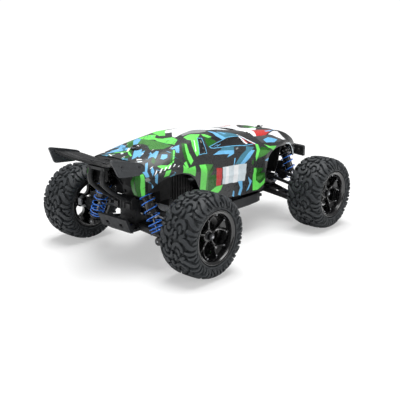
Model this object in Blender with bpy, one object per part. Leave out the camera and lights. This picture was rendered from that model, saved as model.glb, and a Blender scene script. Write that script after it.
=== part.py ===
"""Radio-controlled 4WD monster truck, about 1:16 scale.

Frame: origin on the ground under the middle of the truck, +X forward, +Y left,
+Z up. Everything is written in millimetres and turned into metres when a mesh
is made. Each physical piece is its own object; pieces that move have their
origin on the axis they turn about. Shapes used only by booleans are hidden
helpers, named for the detail they add or remove.
"""
import math

import bmesh
import bpy
import numpy as np
from mathutils import Vector

for old in list(bpy.data.objects):
    bpy.data.objects.remove(old, do_unlink=True)

MM = 0.001

# ---------------------------------------------------------------- driving dimensions
REAR_X = -86.0            # rear axle
FRONT_X = 101.0           # front axle
AXLE_Z = 37.5             # wheel centre height
SHAFT_Z = 44.5            # height of the centre shaft and differentials
KINGPIN_Y = 60.0
TRACK_Y = 81.0            # middle of each tyre

# inner and outer joints (y, z) of the links at each corner
ARM_IN, ARM_OUT = (14.0, 32.0), (52.0, 25.0)              # lower arm
LINK_IN, LINK_OUT = (14.0, 53.5), (52.0, 46.5)            # upper link
BONE_IN, BONE_OUT = (22.0, SHAFT_Z), (KINGPIN_Y, AXLE_Z)  # drive shaft
ROD_IN, ROD_OUT = (22.0, 50.0), (KINGPIN_Y, 43.0)         # tie rod
SHOCK_TOP, SHOCK_LOW = (23.0, 77.0), (45.0, 26.6)         # shock eyes
SHOCK_OFF = 14.0          # shocks stand this far outboard of each axle along X
ROD_OFF = -13.5           # tie rods, measured along X from the front axle

PIN_R = 1.2
PIN_BORE = 1.5
HINGE_PIN = 12.4          # half length of the lower arm's inner pin
HUB_PIN = 8.0             # half length of the lower arm's outer pin
LINK_PIN = (1, 6.9)       # upper link pins, outboard of the axle along X
LINK_SPAN = (3.5, 6.7)    # upper link eyes, outboard of the axle along X

FLOOR_LOW = 26.5
FLOOR_TOP = 29.0
SEAT_Z = FLOOR_TOP + 0.4  # underside of parts standing on the floor

# end: (axle x, direction along X away from the middle of the truck)
ENDS = {"front": (FRONT_X, 1.0), "rear": (REAR_X, -1.0)}
SIDES = {"left": 1.0, "right": -1.0}
X_AXIS = (1, 0, 0)


# ---------------------------------------------------------------- materials
def material(name, colour, rough, metal=0.0):
    mat = bpy.data.materials.new(name)
    mat.use_nodes = True
    bsdf = mat.node_tree.nodes.get("Principled BSDF")
    bsdf.inputs["Base Color"].default_value = (*colour, 1.0)
    bsdf.inputs["Roughness"].default_value = rough
    bsdf.inputs["Metallic"].default_value = metal
    mat.diffuse_color = (*colour, 1.0)
    return mat


RUBBER = material("tyre_rubber", colour=(0.045, 0.05, 0.052), rough=0.85)
RIM_BLACK = material("rim_gloss_black", colour=(0.012, 0.012, 0.013), rough=0.18)
PLASTIC = material("chassis_plastic", colour=(0.03, 0.031, 0.033), rough=0.5)
WING_PLASTIC = material("wing_plastic", colour=(0.022, 0.023, 0.025), rough=0.45)
SHELL_PAINT = material("shell_paint", colour=(0.13, 0.62, 0.12), rough=0.22)
SPRING_BLUE = material("spring_blue", colour=(0.03, 0.16, 0.6), rough=0.35, metal=0.4)
SHOCK_BLACK = material("shock_black", colour=(0.02, 0.02, 0.022), rough=0.3)
STEEL = material("steel", colour=(0.55, 0.56, 0.58), rough=0.3, metal=1.0)
MOTOR_CAN = material("motor_can", colour=(0.45, 0.46, 0.48), rough=0.35, metal=1.0)
BATTERY_WRAP = material("battery_wrap", colour=(0.02, 0.07, 0.3), rough=0.4)
SERVO_CASE = material("servo_case", colour=(0.02, 0.02, 0.022), rough=0.4)


# ---------------------------------------------------------------- outline tools
def mirrored(half, index):
    """Half outline plus its mirror image, with coordinate `index` negated.
    Points on the mirror line are not repeated."""
    return half + [p[:index] + (-p[index],) + p[index + 1:] for p in reversed(half) if p[index]]


def on_side(side, points):
    """Left-hand (y, z) points put on the left (1) or right (-1)."""
    return [(side * y, z) for y, z in points]


def smooth_path(points, steps):
    """Catmull-Rom curve through the points."""
    pts = [Vector(p) for p in points]
    pts = [pts[0] * 2 - pts[1]] + pts + [pts[-1] * 2 - pts[-2]]
    out = []
    for i in range(1, len(pts) - 2):
        p0, p1, p2, p3 = pts[i - 1:i + 3]
        for step in range(steps):
            t = step / steps
            out.append(0.5 * (2 * p1 + (p2 - p0) * t
                              + (2 * p0 - 5 * p1 + 4 * p2 - p3) * t * t
                              + (3 * p1 - p0 - 3 * p2 + p3) * t ** 3))
    out.append(pts[-2])
    return out


def frame_for(direction):
    """Unit direction and two unit vectors square to it."""
    along = Vector(direction).normalized()
    ref = Vector(X_AXIS) if abs(along.x) < 0.9 else Vector((0, 0, 1))
    across = ref.cross(along).normalized()
    return along, across, along.cross(across)


# ---------------------------------------------------------------- mesh tools
def build(name, verts, faces, mat, origin=(0, 0, 0), smooth=35.0):
    """One closed mesh object from millimetre world points."""
    origin = Vector(origin)
    bm = bmesh.new()
    bm_verts = [bm.verts.new((Vector(v) - origin) * MM) for v in verts]
    for face in faces:
        bm.faces.new([bm_verts[i] for i in face])
    bmesh.ops.remove_doubles(bm, verts=bm.verts, dist=1e-6)
    bmesh.ops.recalc_face_normals(bm, faces=bm.faces)
    mesh = bpy.data.meshes.new(name)
    bm.to_mesh(mesh)
    bm.free()
    mesh.materials.append(mat)
    mesh.shade_smooth()
    mesh.set_sharp_from_angle(angle=math.radians(smooth))
    ob = bpy.data.objects.new(name, mesh)
    ob.location = origin * MM
    bpy.context.scene.collection.objects.link(ob)
    return ob


def boolean(ob, others, operation):
    for other in others:
        other.hide_render = True
        other.display_type = 'WIRE'
        mod = ob.modifiers.new(operation.lower(), 'BOOLEAN')
        mod.operation = operation
        mod.solver = 'EXACT'
        mod.object = other


def join(ob, *others):
    boolean(ob, others, 'UNION')


def cut(ob, *others):
    boolean(ob, others, 'DIFFERENCE')


def box(name, x, y, z, mat=PLASTIC, bevel=0.0):
    """Axis-aligned block from its three (low, high) ranges, edges chamfered."""
    verts = [(px, py, pz) for px in x for py in y for pz in z]
    faces = [(0, 1, 3, 2), (4, 6, 7, 5), (0, 4, 5, 1), (2, 3, 7, 6), (0, 2, 6, 4), (1, 5, 7, 3)]
    ob = build(name, verts, faces, mat)
    if bevel:
        mod = ob.modifiers.new("bevel", 'BEVEL')
        mod.width = bevel * MM
        mod.segments = 1
    return ob


def slab(name, low_ring, high_ring, mat, origin):
    """Solid between two matching rings of points."""
    n = len(low_ring)
    faces = [tuple(range(n)), tuple(range(2 * n - 1, n - 1, -1))]
    faces += [(i, (i + 1) % n, n + (i + 1) % n, n + i) for i in range(n)]
    return build(name, low_ring + high_ring, faces, mat, origin)


def prism(name, outline, axis, low, high, mat=PLASTIC, origin=(0, 0, 0)):
    """Flat outline extruded along 'X', 'Y' or 'Z'."""
    def ring(h):
        return [{'X': (h, a, b), 'Y': (a, h, b), 'Z': (a, b, h)}[axis] for a, b in outline]
    return slab(name, ring(low), ring(high), mat, origin)


def lathe(name, profile, centre, direction, segs, mat=PLASTIC, origin=(0, 0, 0), ring=False):
    """Turned solid. profile is (radius, height along direction); it runs from
    axis to axis, or closes on itself when ring is set."""
    along, across, third = frame_for(direction)
    centre = Vector(centre)
    verts, loops = [], []
    for radius, height in profile:
        start = len(verts)
        if radius < 1e-6:
            loops.append([start])
            verts.append(centre + along * height)
            continue
        for k in range(segs):
            t = 2 * math.pi * k / segs
            verts.append(centre + along * height + across * (radius * math.cos(t))
                         + third * (radius * math.sin(t)))
        loops.append(list(range(start, start + segs)))
    pairs = list(zip(loops, loops[1:]))
    if ring:
        pairs.append((loops[-1], loops[0]))
    faces = []
    for a, b in pairs:
        for k in range(segs):
            k2 = (k + 1) % segs
            if len(a) == 1:
                faces.append((a[0], b[k], b[k2]))
            elif len(b) == 1:
                faces.append((a[k], b[0], a[k2]))
            else:
                faces.append((a[k], b[k], b[k2], a[k2]))
    return build(name, verts, faces, mat, origin)


def sleeve(name, bore, radius, low, high, centre, direction, segs, mat=PLASTIC):
    """Plain round tube from low to high along direction."""
    profile = [(bore, low), (radius, low), (radius, high), (bore, high)]
    return lathe(name, profile, centre, direction, segs, mat, ring=True)


def rod(name, start, end, radius, mat=PLASTIC, segs=8):
    """Plain round bar between two points."""
    start, end = Vector(start), Vector(end)
    length = (end - start).length
    profile = [(0, 0), (radius, 0), (radius, length), (0, length)]
    return lathe(name, profile, start, end - start, segs, mat)


def x_rod(name, x0, x1, y, z, radius, mat=PLASTIC, segs=8):
    return rod(name, (x0, y, z), (x1, y, z), radius, mat, segs)


def z_rod(name, x, y, z0, z1, radius, mat=PLASTIC):
    return rod(name, (x, y, z0), (x, y, z1), radius, mat)


def loft(name, rings, mat, origin=(0, 0, 0)):
    """Closed skin over rings of equal length, flat at both ends."""
    n = len(rings[0])
    verts = [p for ring in rings for p in ring]
    faces = []
    for i in range(len(rings) - 1):
        for k in range(n):
            k2 = (k + 1) % n
            faces.append((i * n + k, i * n + k2, (i + 1) * n + k2, (i + 1) * n + k))
    faces.append(tuple(range(n)))
    faces.append(tuple(range(len(rings) * n - 1, (len(rings) - 1) * n - 1, -1)))
    return build(name, verts, faces, mat, origin)


def sweep(name, path, radius, sides, mat, origin=(0, 0, 0)):
    """Round bar with flat ends along a list of points."""
    pts = [Vector(p) for p in path]
    rings = []
    across = None
    for i, p in enumerate(pts):
        tangent = (pts[min(i + 1, len(pts) - 1)] - pts[max(i - 1, 0)]).normalized()
        if across is None:
            across = frame_for(tangent)[1]
        else:
            across = (across - tangent * across.dot(tangent)).normalized()
        third = tangent.cross(across)
        angles = [2 * math.pi * k / sides for k in range(sides)]
        rings.append([p + across * (radius * math.cos(a)) + third * (radius * math.sin(a))
                      for a in angles])
    return loft(name, rings, mat, origin)


def link_prism(name, outline, low, high, x, side, link_in, link_out, mat=PLASTIC,
               origin=(0, 0, 0)):
    """Outline in (distance along the link, X offset), extruded from low to
    high square to the link."""
    along = Vector((link_out[0] - link_in[0], link_out[1] - link_in[1])).normalized()
    square = Vector((-along.y, along.x))

    def ring(height):
        points = []
        for distance, offset in outline:
            p = Vector(link_in) + along * distance + square * height
            points.append((x + offset, side * p.x, p.y))
        return points
    return slab(name, ring(low), ring(high), mat, origin)


# ================================================================ chassis
# Flat floor whose sides slope up into raised guards, narrowing at both ends,
# with a tongue under each gearbox.
GUARD_TOP = 40.5
GUARD_T = 2.4
TRAY_PLAN = [             # x, half width
    (-56, 31.0), (-53, 35.5), (-47, 40.5), (-38, 43.5),
    (42, 43.5), (49, 42.0), (53, 38.5), (55, 33.0)]
TONGUE_HALF = [           # x, y of the left edge
    (-98.0, 10), (-60, 12), (-58, 21), (58, 23), (80, 22), (84, 12), (118.0, 10)]
RIB_Y = 4.2


def tray_ring(x, width):
    inner = width - GUARD_T
    return mirrored([
        (x, width - 9.5, FLOOR_LOW), (x, width, FLOOR_LOW + 5.2), (x, width, GUARD_TOP),
        (x, inner, GUARD_TOP), (x, inner, FLOOR_LOW + 6.6), (x, width - 10.2, FLOOR_TOP)], 1)


chassis = loft("chassis_tray", [tray_ring(x, width) for x, width in TRAY_PLAN], PLASTIC)
join(chassis, prism("tray_tongue", mirrored(TONGUE_HALF, 1), 'Z',
                    FLOOR_LOW + 0.2, FLOOR_TOP + 0.1))
for x_range in ((-55.6, -52.8), (51.6, 54.6)):
    for side in (1, -1):
        join(chassis, box("tray_end", x_range, sorted((side * 13.0, side * 31.0)),
                          (FLOOR_LOW + 0.9, 38.0)))
# a long rib on the floor on each side of the drive shaft
for side in (1, -1):
    join(chassis, box("tray_rib", (-43, 50), (side * RIB_Y - 0.9, side * RIB_Y + 0.9),
                      (FLOOR_TOP - 0.7, 33.2)))


# ================================================================ gearboxes
def gearbox(end, axle_x, out):
    """Hollow case around the differential. The low block carries the pins of
    both lower arms, the high block those of the upper links."""
    block_y = (-16.6, 16.6)
    case = box(f"{end}_gearbox", (axle_x - 11, axle_x + 11), (-10.5, 10.5), (SEAT_Z, 57))
    join(case,
         box("low_block", (axle_x - 5.5, axle_x + 5.5), block_y, (FLOOR_TOP + 0.5, 35)),
         box("high_block", (axle_x - 3.2, axle_x + 3.2), block_y, (50.6, 56.2)))
    for side in (1, -1):
        join(case,
             x_rod("arm_pin", axle_x - HINGE_PIN, axle_x + HINGE_PIN,
                   side * ARM_IN[0], ARM_IN[1], PIN_R, STEEL),
             x_rod("link_pin", axle_x + out * LINK_PIN[0], axle_x + out * LINK_PIN[1],
                   side * LINK_IN[0], LINK_IN[1], PIN_R, STEEL))
    cut(case,
        box("case_hollow", (axle_x - 9.2, axle_x + 9.2), (-8.9, 8.9), (32.4, 55.0)),
        rod("output_bore", (axle_x, -20, SHAFT_Z), (axle_x, 20, SHAFT_Z), 5.0, segs=10),
        x_rod("input_bore", axle_x - out * 5, axle_x - out * 13, 0, SHAFT_Z, 2.0))


for end, (axle_x, out) in ENDS.items():
    gearbox(end, axle_x, out)

# ================================================================ shock towers
TOWER_HALF = [            # y, z of the left half
    (8, 57.3), (11.5, 59), (12.5, 65), (17, 70), (26, 72.5), (27.5, 77),
    (25.5, 81), (20, 81.5), (14, 77), (6, 74), (5, 78), (3.2, 80)]
POST_TOP = {"front": 90.5, "rear": 98.8}    # just under the shell


def shock_tower(end, axle_x, out):
    """Plate with a pin for each shock and a body post in the middle."""
    low_x, high_x = sorted((axle_x + out * 2.6, axle_x + out * 5.6))
    tower = prism(f"{end}_shock_tower", mirrored(TOWER_HALF, 0), 'X', low_x, high_x)
    for side in (1, -1):
        y, z = side * SHOCK_TOP[0], SHOCK_TOP[1]
        join(tower,
             x_rod("shock_pin", axle_x + out * 3.5, axle_x + out * 17.6, y, z, 1.5, STEEL),
             x_rod("shock_pin_head", axle_x + out * 17.2, axle_x + out * 18.4, y, z, 2.4,
                   STEEL))
    join(tower,
         box("post_foot", sorted((axle_x - out * 3, axle_x + out * 4.1)), (-2.9, 2.9),
             (71.6, 76.6)),
         z_rod("body_post", axle_x - out * 0.2, 0, 73, POST_TOP[end], 2.2))


for end, (axle_x, out) in ENDS.items():
    shock_tower(end, axle_x, out)

# ================================================================ front bumper
BAR_HALF = [              # x, y of the left half
    (151, 0), (151, 20), (149, 29), (145.5, 33), (142, 33), (143.5, 27), (146, 19), (146.4, 0)]
BAR_LOW, BAR_HIGH = 62.8, 73.8
STAY = [                  # x, z of each stay
    (112.5, 30.3), (121, 30.3), (137, 40), (149.4, 60), (149.4, 65),
    (146.6, 65), (146, 61), (134, 43.5), (119, 34.8), (112.5, 34.8)]
STAY_Y = 7.5

bumper = prism("front_bumper", mirrored(BAR_HALF, 1), 'Z', BAR_LOW, BAR_HIGH)
for side in (1, -1):
    join(bumper, prism("bumper_stay", STAY, 'Y', side * STAY_Y - 1.5, side * STAY_Y + 1.5))
join(bumper, box("bumper_cross", (112.9, 120.4), (-8.6, 8.6), (30.6, 34.4)))
for side in (1, -1):
    cut(bumper, x_rod("bumper_hole", 136, 156, side * 25.5, 68.6, 2.4, segs=10))

# ================================================================ rear bumper
# Plate standing up behind the gearbox on a short tongue.
REAR_PROFILE = [          # x, z
    (-98.4, 29.6), (-104, 30.2), (-109.5, 33.4), (-114.6, 44.2),
    (-117.0, 43.6), (-112.2, 32.0), (-105.4, 27.4), (-98.4, 26.9)]
REAR_TRIM = [             # x, y of the part cut off beside the tongue
    (-97.0, 10.5), (-103.5, 11.0), (-108.5, 16.5), (-108.5, 30), (-97.0, 30)]

rear_bumper = prism("rear_bumper", REAR_PROFILE, 'Y', -19.0, 19.0)
for side in (1, -1):
    cut(rear_bumper, prism("bumper_trim", [(x, side * y) for x, y in REAR_TRIM], 'Z', 20, 60))
    cut(rear_bumper, rod("bumper_slot", (-118, side * 9.0, 34.2), (-104, side * 9.0, 40.4),
                         2.5, segs=10))
join(rear_bumper, box("bumper_tongue", (-103.6, -97.4), (-9.0, 9.0), (29.3, 33.5)))

# ================================================================ electrics
SERVO_Y = 13
HORN_X = 71.0             # servo output axis

box("battery_pack", (-42, 30), (-34, -10), (SEAT_Z, 47), BATTERY_WRAP, bevel=2.0)
box("control_unit", (-4, 32), (10, 33), (SEAT_Z, 42), SERVO_CASE, bevel=1.2)
servo = box("steering_servo", (60, 78), (SERVO_Y - 8, SERVO_Y + 6), (SEAT_Z, 42.4),
            SERVO_CASE, bevel=0.8)
join(servo, z_rod("servo_output", HORN_X, SERVO_Y, 41, 44.9, 2.6, SERVO_CASE))

# ================================================================ driveline
SPUR_R, PINION_R = 11.0, 4.0
MOTOR_Y = SPUR_R + PINION_R + 0.3    # gears just clear of each other
SHAFT_R = 1.6
SPUR_HUB_R = 3.0

# motor lying along X, its pinion beside the spur gear
lathe("drive_motor", [(0, 0), (9.2, 0), (9.6, 1.2), (9.6, 27), (8.4, 29), (3.2, 29),
                      (3.2, 31), (0, 31)],
      (-44.5, MOTOR_Y, SHAFT_Z), X_AXIS, 20, MOTOR_CAN)
# centre shaft with the spur gear; heights are world x
lathe("centre_driveshaft", [
    (0, REAR_X + 5.6), (SHAFT_R, REAR_X + 5.6), (SHAFT_R, -52), (SPUR_HUB_R, -52),
    (SPUR_HUB_R, -50.5), (SPUR_R, -50.5), (SPUR_R, -47.5), (SPUR_HUB_R, -47.5),
    (SPUR_HUB_R, -45.5), (SHAFT_R, -45.5), (SHAFT_R, FRONT_X - 5.6), (0, FRONT_X - 5.6)],
    (0, 0, SHAFT_Z), X_AXIS, 14, STEEL, origin=(0, 0, SHAFT_Z))
lathe("motor_pinion", [(0, -51), (PINION_R, -51), (PINION_R, -46.8), (2.0, -46.8),
                       (2.0, -44.9), (0, -44.9)],
      (0, MOTOR_Y, SHAFT_Z), X_AXIS, 16, STEEL, origin=(-48, MOTOR_Y, SHAFT_Z))

# radius, y: a cup for the drive shaft at each end, gear flange left of centre
DIFF_PROFILE = [
    (0, -19.0), (3.1, -19.0), (3.1, -25.0), (4.4, -25.0), (4.4, -16.8), (3.0, -16.8),
    (3.0, -8.0), (5.5, -8.0), (5.5, 2.4), (8.8, 2.4), (8.8, 5.2), (5.5, 6.2), (5.5, 8.0),
    (3.0, 8.0), (3.0, 16.8), (4.4, 16.8), (4.4, 25.0), (3.1, 25.0), (3.1, 19.0), (0, 19.0)]
for end, (axle_x, _) in ENDS.items():
    centre = (axle_x, 0, SHAFT_Z)
    lathe(f"{end}_differential", DIFF_PROFILE, centre, (0, 1, 0), 10, STEEL, origin=centre)

# ================================================================ wing
WING_HALF = [             # y, trailing edge (x, z), leading edge (x, z)
    (0.0, (-132.0, 94.0), (-113.0, 93.4)),
    (12.0, (-133.5, 94.1), (-113.3, 93.6)),
    (24.0, (-140.0, 96.8), (-113.8, 94.4)),
    (34.0, (-144.5, 100.4), (-114.3, 95.4)),
    (40.8, (-146.4, 102.5), (-114.6, 96.0))]
WING_SECTION = [          # fraction of the way to the leading edge, height off the chord
    (0.0, 0.45), (0.3, 1.0), (0.7, 1.1), (1.0, 0.4),
    (1.0, -0.4), (0.7, -1.0), (0.3, -0.9), (0.0, -0.45)]
PLATE = [                 # x, z of each end plate
    (-151, 105.7), (-148, 106.0), (-118.5, 98.8), (-115.4, 96.2),
    (-115.8, 93.8), (-122, 89.4), (-142, 91.0), (-144.8, 92.6)]
PLATE_REF_Z = 105.7       # height at which the plate faces have their nominal y
PLATE_FACES = (40.0, 41.7)    # y of the inner and outer face
PLATE_LEAN = 0.14         # outward spread per unit of height downwards

wing_rings = []
wing_stations = [(-y, trail, lead) for y, trail, lead in reversed(WING_HALF[1:])] + WING_HALF
for y, (trail_x, trail_z), (lead_x, lead_z) in wing_stations:
    wing_rings.append([(trail_x + (lead_x - trail_x) * chord, y,
                        trail_z + (lead_z - trail_z) * chord + rise)
                       for chord, rise in WING_SECTION])
wing = loft("rear_wing", wing_rings, WING_PLASTIC)
for side in (1, -1):
    join(wing, loft("end_plate", [
        [(x, side * (face_y + (PLATE_REF_Z - z) * PLATE_LEAN), z) for x, z in PLATE]
        for face_y in PLATE_FACES], WING_PLASTIC))

# Wing mount: two bent tubes from a foot on the back of the gearbox to a bridge.
TUBE_Y = 8
TUBE_PATH = [             # x, z
    (-130.4, 91.9), (-132.2, 85), (-132.4, 80.0), (-130.0, 75.4),
    (-119.0, 66.4), (-108.0, 59.8), (-99.9, 55.6)]

mount = box("wing_mount", (-102.6, -97.4), (-11.5, 11.5), (48.0, 59.5), WING_PLASTIC, bevel=0.8)
for side in (1, -1):
    path = smooth_path([(x, side * TUBE_Y, z) for x, z in TUBE_PATH], 2)
    join(mount, sweep("wing_tube", path, 2.1, 6, WING_PLASTIC))
join(mount, box("wing_bridge", (-132.4, -127.2), (-9.0, 9.0), (89.3, 91.9), WING_PLASTIC))

# ================================================================ body shell
# Tables are (x, value), read by linear interpolation.
ROOF_Z = [
    (-118, 96.5), (-98, 99.0), (-74, 103.5), (-47, 108.2), (-34, 110.0), (4, 108.8),
    (28, 105.6), (50, 102.6), (71, 101.0), (90, 98.8), (110, 94.4), (125, 88.6),
    (136, 82.0), (141.5, 76.5)]
ROOF_W = [                # half width of the roof
    (-118, 21.0), (-74, 20.5), (-34, 20.0), (4, 20.5), (28, 22.0), (71, 22.0),
    (110, 20.5), (141.5, 17.0)]
BELT_W = [                # half width at the belt line
    (-118, 32.0), (-104, 38.0), (-86, 43.5), (-68, 45.5), (-30, 46.0), (50, 45.5),
    (62, 43.5), (90, 40.0), (110, 33.5), (125, 29.0), (135, 25.5), (141.5, 20.5)]
BELT_Z = [
    (-118, 84.0), (-86, 86.5), (-60, 84.0), (-30, 79.0), (20, 78.0), (50, 80.0),
    (70, 86.5), (90, 87.5), (110, 84.5), (125, 79.5), (141.5, 70.5)]
LOW_Z = [                 # lower edge, rising over the wheels
    (-118, 69.0), (-112, 67.5), (-108, 69.0), (-100, 75.5), (-90, 80.5), (-76, 82.5),
    (-64, 80.0), (-56, 75.0), (-50, 66.0), (-46, 60.0), (-30, 51.5), (-12, 47.5),
    (10, 45.0), (40, 43.8), (49, 43.6), (53.5, 48.5), (55.2, 57.0), (57, 68.0),
    (62, 76.5), (70, 81.5), (82, 83.5), (96, 83.0), (108, 82.0), (116, 80.0),
    (122, 76.5), (127, 70.0), (132, 64.0), (141.5, 62.5)]
LOW_W = [                 # half width at the lower edge
    (-118, 36.5), (-112, 38.0), (-86, 43.0), (-60, 45.0), (-46, 44.0), (0, 44.6),
    (46, 44.6), (58, 43.5), (90, 39.0), (110, 33.0), (122, 29.5), (127, 27.5), (141.5, 19.0)]
SHELL_X = [
    -118, -108, -102, -94, -84, -74, -64, -56, -49, -44, -30, -10, 14, 34, 49, 53.5, 57,
    63, 72, 84, 96, 108, 116, 122, 127, 132, 137, 141.5]
# x of each half-section point at the open tail, which is cut back under the wing
TAIL_X = [-115.0, -118.0, -114.8, -111.6, -111.4, -111.4]
SHELL_WALL = 1.2


def half_section(x, inset):
    """(y, z) from the lower edge over belt, shoulder and roof edge to the centre."""
    def at(table):
        return np.interp(x, *zip(*table))
    top = at(ROOF_Z) - inset
    roof_w = at(ROOF_W) - inset * 0.5
    belt_w = at(BELT_W) - inset
    low_w = min(at(LOW_W) - inset, belt_w)
    low_z = at(LOW_Z)
    belt_z = max(at(BELT_Z), low_z + 1.2)
    flare, rise = belt_w - roof_w, top - belt_z
    return [(low_w, low_z), (belt_w, belt_z),
            (roof_w + flare * 0.62, belt_z + rise * 0.56 - inset * 0.3),
            (roof_w + flare * 0.22, belt_z + rise * 0.92 - inset * 0.2),
            (roof_w * 0.55, top - 0.4), (0.0, top)]


def shell_ring(x, inset):
    half = half_section(x, inset)
    if x == SHELL_X[0]:
        xs = TAIL_X
    elif x == SHELL_X[-1]:
        xs = [x - inset] * len(half)
    else:
        xs = [x] * len(half)
    return mirrored([(px, y, z) for px, (y, z) in zip(xs, half)], 1)


def body_shell():
    """Thin shell, open underneath and at the tail, closed at the nose."""
    rings = [shell_ring(x, inset) for inset in (0.0, SHELL_WALL) for x in SHELL_X]
    n = len(rings[0])
    last = (len(SHELL_X) - 1) * n       # first outer point of the nose
    off = len(SHELL_X) * n              # from an outer point to its inner one
    faces = []
    for i in range(len(SHELL_X) - 1):
        for k in range(n - 1):
            a, b = i * n + k, i * n + k + 1
            c, d = (i + 1) * n + k + 1, (i + 1) * n + k
            faces.append((a, b, c, d))
            faces.append((off + d, off + c, off + b, off + a))
        # rims along the lower edges, left then right
        a, d = i * n, (i + 1) * n
        faces.append((a, d, off + d, off + a))
        a, d = a + n - 1, d + n - 1
        faces.append((d, a, off + a, off + d))
    for k in range(n - 1):              # rim of the open tail
        faces.append((k, off + k, off + k + 1, k + 1))
    faces.append(tuple(last + k for k in range(n)))                    # nose, outside
    faces.append(tuple(off + last + k for k in reversed(range(n))))    # nose, inside
    faces.append((last + n - 1, last, off + last, off + last + n - 1))
    verts = [p for ring in rings for p in ring]
    build("body_shell", verts, faces, SHELL_PAINT, smooth=50.0)


body_shell()

# ================================================================ suspension links
ARM_L = (Vector(ARM_OUT) - Vector(ARM_IN)).length
ARM_OUTLINE = [           # distance along the arm, X offset; a fork at each end
    (2.2, -11), (18, -8.4), (26, -7), (ARM_L - 2.0, -7), (ARM_L - 2.0, -4.1),
    (ARM_L - 5.2, -4.1), (ARM_L - 5.2, 4.1), (ARM_L - 2.0, 4.1), (ARM_L - 2.0, 7),
    (26, 7), (18, 8.4), (2.2, 11), (2.2, 6), (5.4, 6), (5.4, -6), (2.2, -6)]
ARM_WINDOWS = [
    [(9, -7.0), (18, -5.4), (18, 5.4), (9, 7.0)],
    [(21.5, -3.6), (29.5, -3.6), (29.5, 3.6), (21.5, 3.6)]]
ARM_LUGS = [              # joint, lug radius, X offsets of its ends
    (ARM_IN, 3.1, -11.25, -5.8), (ARM_IN, 3.1, 5.8, 11.25),
    (ARM_OUT, 3.0, -7.25, -3.9), (ARM_OUT, 3.0, 3.9, 7.25)]


def lower_arm(tag, axle_x, out, side):
    arm = link_prism(f"{tag}_lower_arm", ARM_OUTLINE, -2.4, 2.4, axle_x, side, ARM_IN, ARM_OUT,
                     origin=(axle_x, side * ARM_IN[0], ARM_IN[1]))
    for (y, z), radius, low, high in ARM_LUGS:
        join(arm, sleeve("arm_lug", PIN_BORE, radius, 0, high - low,
                         (axle_x + low, side * y, z), X_AXIS, 8))
    shock_x = axle_x + out * SHOCK_OFF
    y, z = side * SHOCK_LOW[0], SHOCK_LOW[1]
    join(arm,
         x_rod("eye_pin", axle_x + out * 5.6, shock_x + out * 3.4, y, z, 1.4, STEEL),
         x_rod("eye_pin_head", shock_x + out * 2.8, shock_x + out * 4.0, y, z, 3.4, STEEL))
    for window in ARM_WINDOWS:
        cut(arm, link_prism("arm_window", window, -4, 4, axle_x, side, ARM_IN, ARM_OUT,
                            origin=(axle_x, side * ARM_IN[0], ARM_IN[1])))


def upper_link(tag, axle_x, out, side):
    low, high = sorted(out * x for x in LINK_SPAN)
    near, far = 2.0, ARM_L - 2.0      # the bar is as long as the lower arm
    outline = [(near, low + 0.3), (far, low + 0.3), (far, high - 0.3), (near, high - 0.3)]
    link = link_prism(f"{tag}_upper_link", outline, -1.5, 1.5, axle_x, side, LINK_IN, LINK_OUT,
                      origin=(axle_x, side * LINK_IN[0], LINK_IN[1]))
    for y, z in (LINK_IN, LINK_OUT):
        join(link, sleeve("link_eye", PIN_BORE, 3.0, 0, high - low,
                          (axle_x + low, side * y, z), X_AXIS, 8))


# ================================================================ hub carriers
# C frame between the two outer pins; outlines are y, z on the left.
C_WEB = [(48.7, 26.5), (51.6, 26.5), (51.6, 46.5), (48.7, 46.5)]
C_LOW = [
    (48.9, 23.4), (50.2, 22.1), (54.0, 22.1), (57.0, 24.9), (63.4, 24.9), (63.4, 28.4),
    (55.2, 28.4), (52.6, 30.6), (48.9, 30.6)]
C_HIGH = [
    (48.9, 43.6), (52.4, 43.6), (54.8, 45.4), (55.6, 46.6), (63.4, 46.6), (63.4, 50.1),
    (50.2, 50.1), (48.9, 48.8)]
RIB_LOW = [(58, 27.0), (63.0, 27.0), (63.0, 31.5), (58, 31.5)]
RIB_HIGH = [(58, 48.0), (63.0, 48.0), (63.0, 43.5), (58, 43.5)]
BEARING_TUBE = [          # radius, distance outboard of the kingpin
    (2.9, 4.0), (5.1, 4.0), (5.1, -3.5), (7.3, -3.5), (7.3, 6.4), (5.2, 8.4), (2.9, 8.4)]


def hub_carrier(tag, axle_x, out, side):
    """Carrier without its end-specific parts, and the helper for the window
    the drive shaft passes through."""
    carrier = prism(f"{tag}_hub_carrier", on_side(side, C_WEB), 'X', axle_x - 3.3, axle_x + 3.3,
                    origin=(axle_x, side * ARM_OUT[0], ARM_OUT[1]))
    join(carrier,
         prism("c_low", on_side(side, C_LOW), 'X', axle_x - 3.5, axle_x + 3.5),
         prism("c_high", on_side(side, C_HIGH), 'X', axle_x - 3.2, axle_x + 3.2),
         x_rod("low_pin", axle_x - HUB_PIN, axle_x + HUB_PIN,
               side * ARM_OUT[0], ARM_OUT[1], PIN_R, STEEL),
         x_rod("high_pin", axle_x + out * LINK_PIN[0], axle_x + out * LINK_PIN[1],
               side * LINK_OUT[0], LINK_OUT[1], PIN_R, STEEL))
    window = box("bone_window", (axle_x - 2.0, axle_x + 2.0), (side * 50 - 4, side * 50 + 4),
                 (33.8, 43.2))
    return carrier, window


def rear_carrier(tag, axle_x, out, side):
    """At the rear the bearing housing is part of the carrier."""
    carrier, window = hub_carrier(tag, axle_x, out, side)
    join(carrier,
         lathe("bearing_housing", BEARING_TUBE, (axle_x, side * KINGPIN_Y, AXLE_Z),
               (0, side, 0), 12, ring=True),
         prism("rib_low", on_side(side, RIB_LOW), 'X', axle_x - 2.6, axle_x + 2.6),
         prism("rib_high", on_side(side, RIB_HIGH), 'X', axle_x - 2.6, axle_x + 2.6))
    cut(carrier, window,
        rod("cup_space", (axle_x, side * (KINGPIN_Y - 5), AXLE_Z),
            (axle_x, side * (KINGPIN_Y + 4.0), AXLE_Z), 5.1, segs=14))


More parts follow.
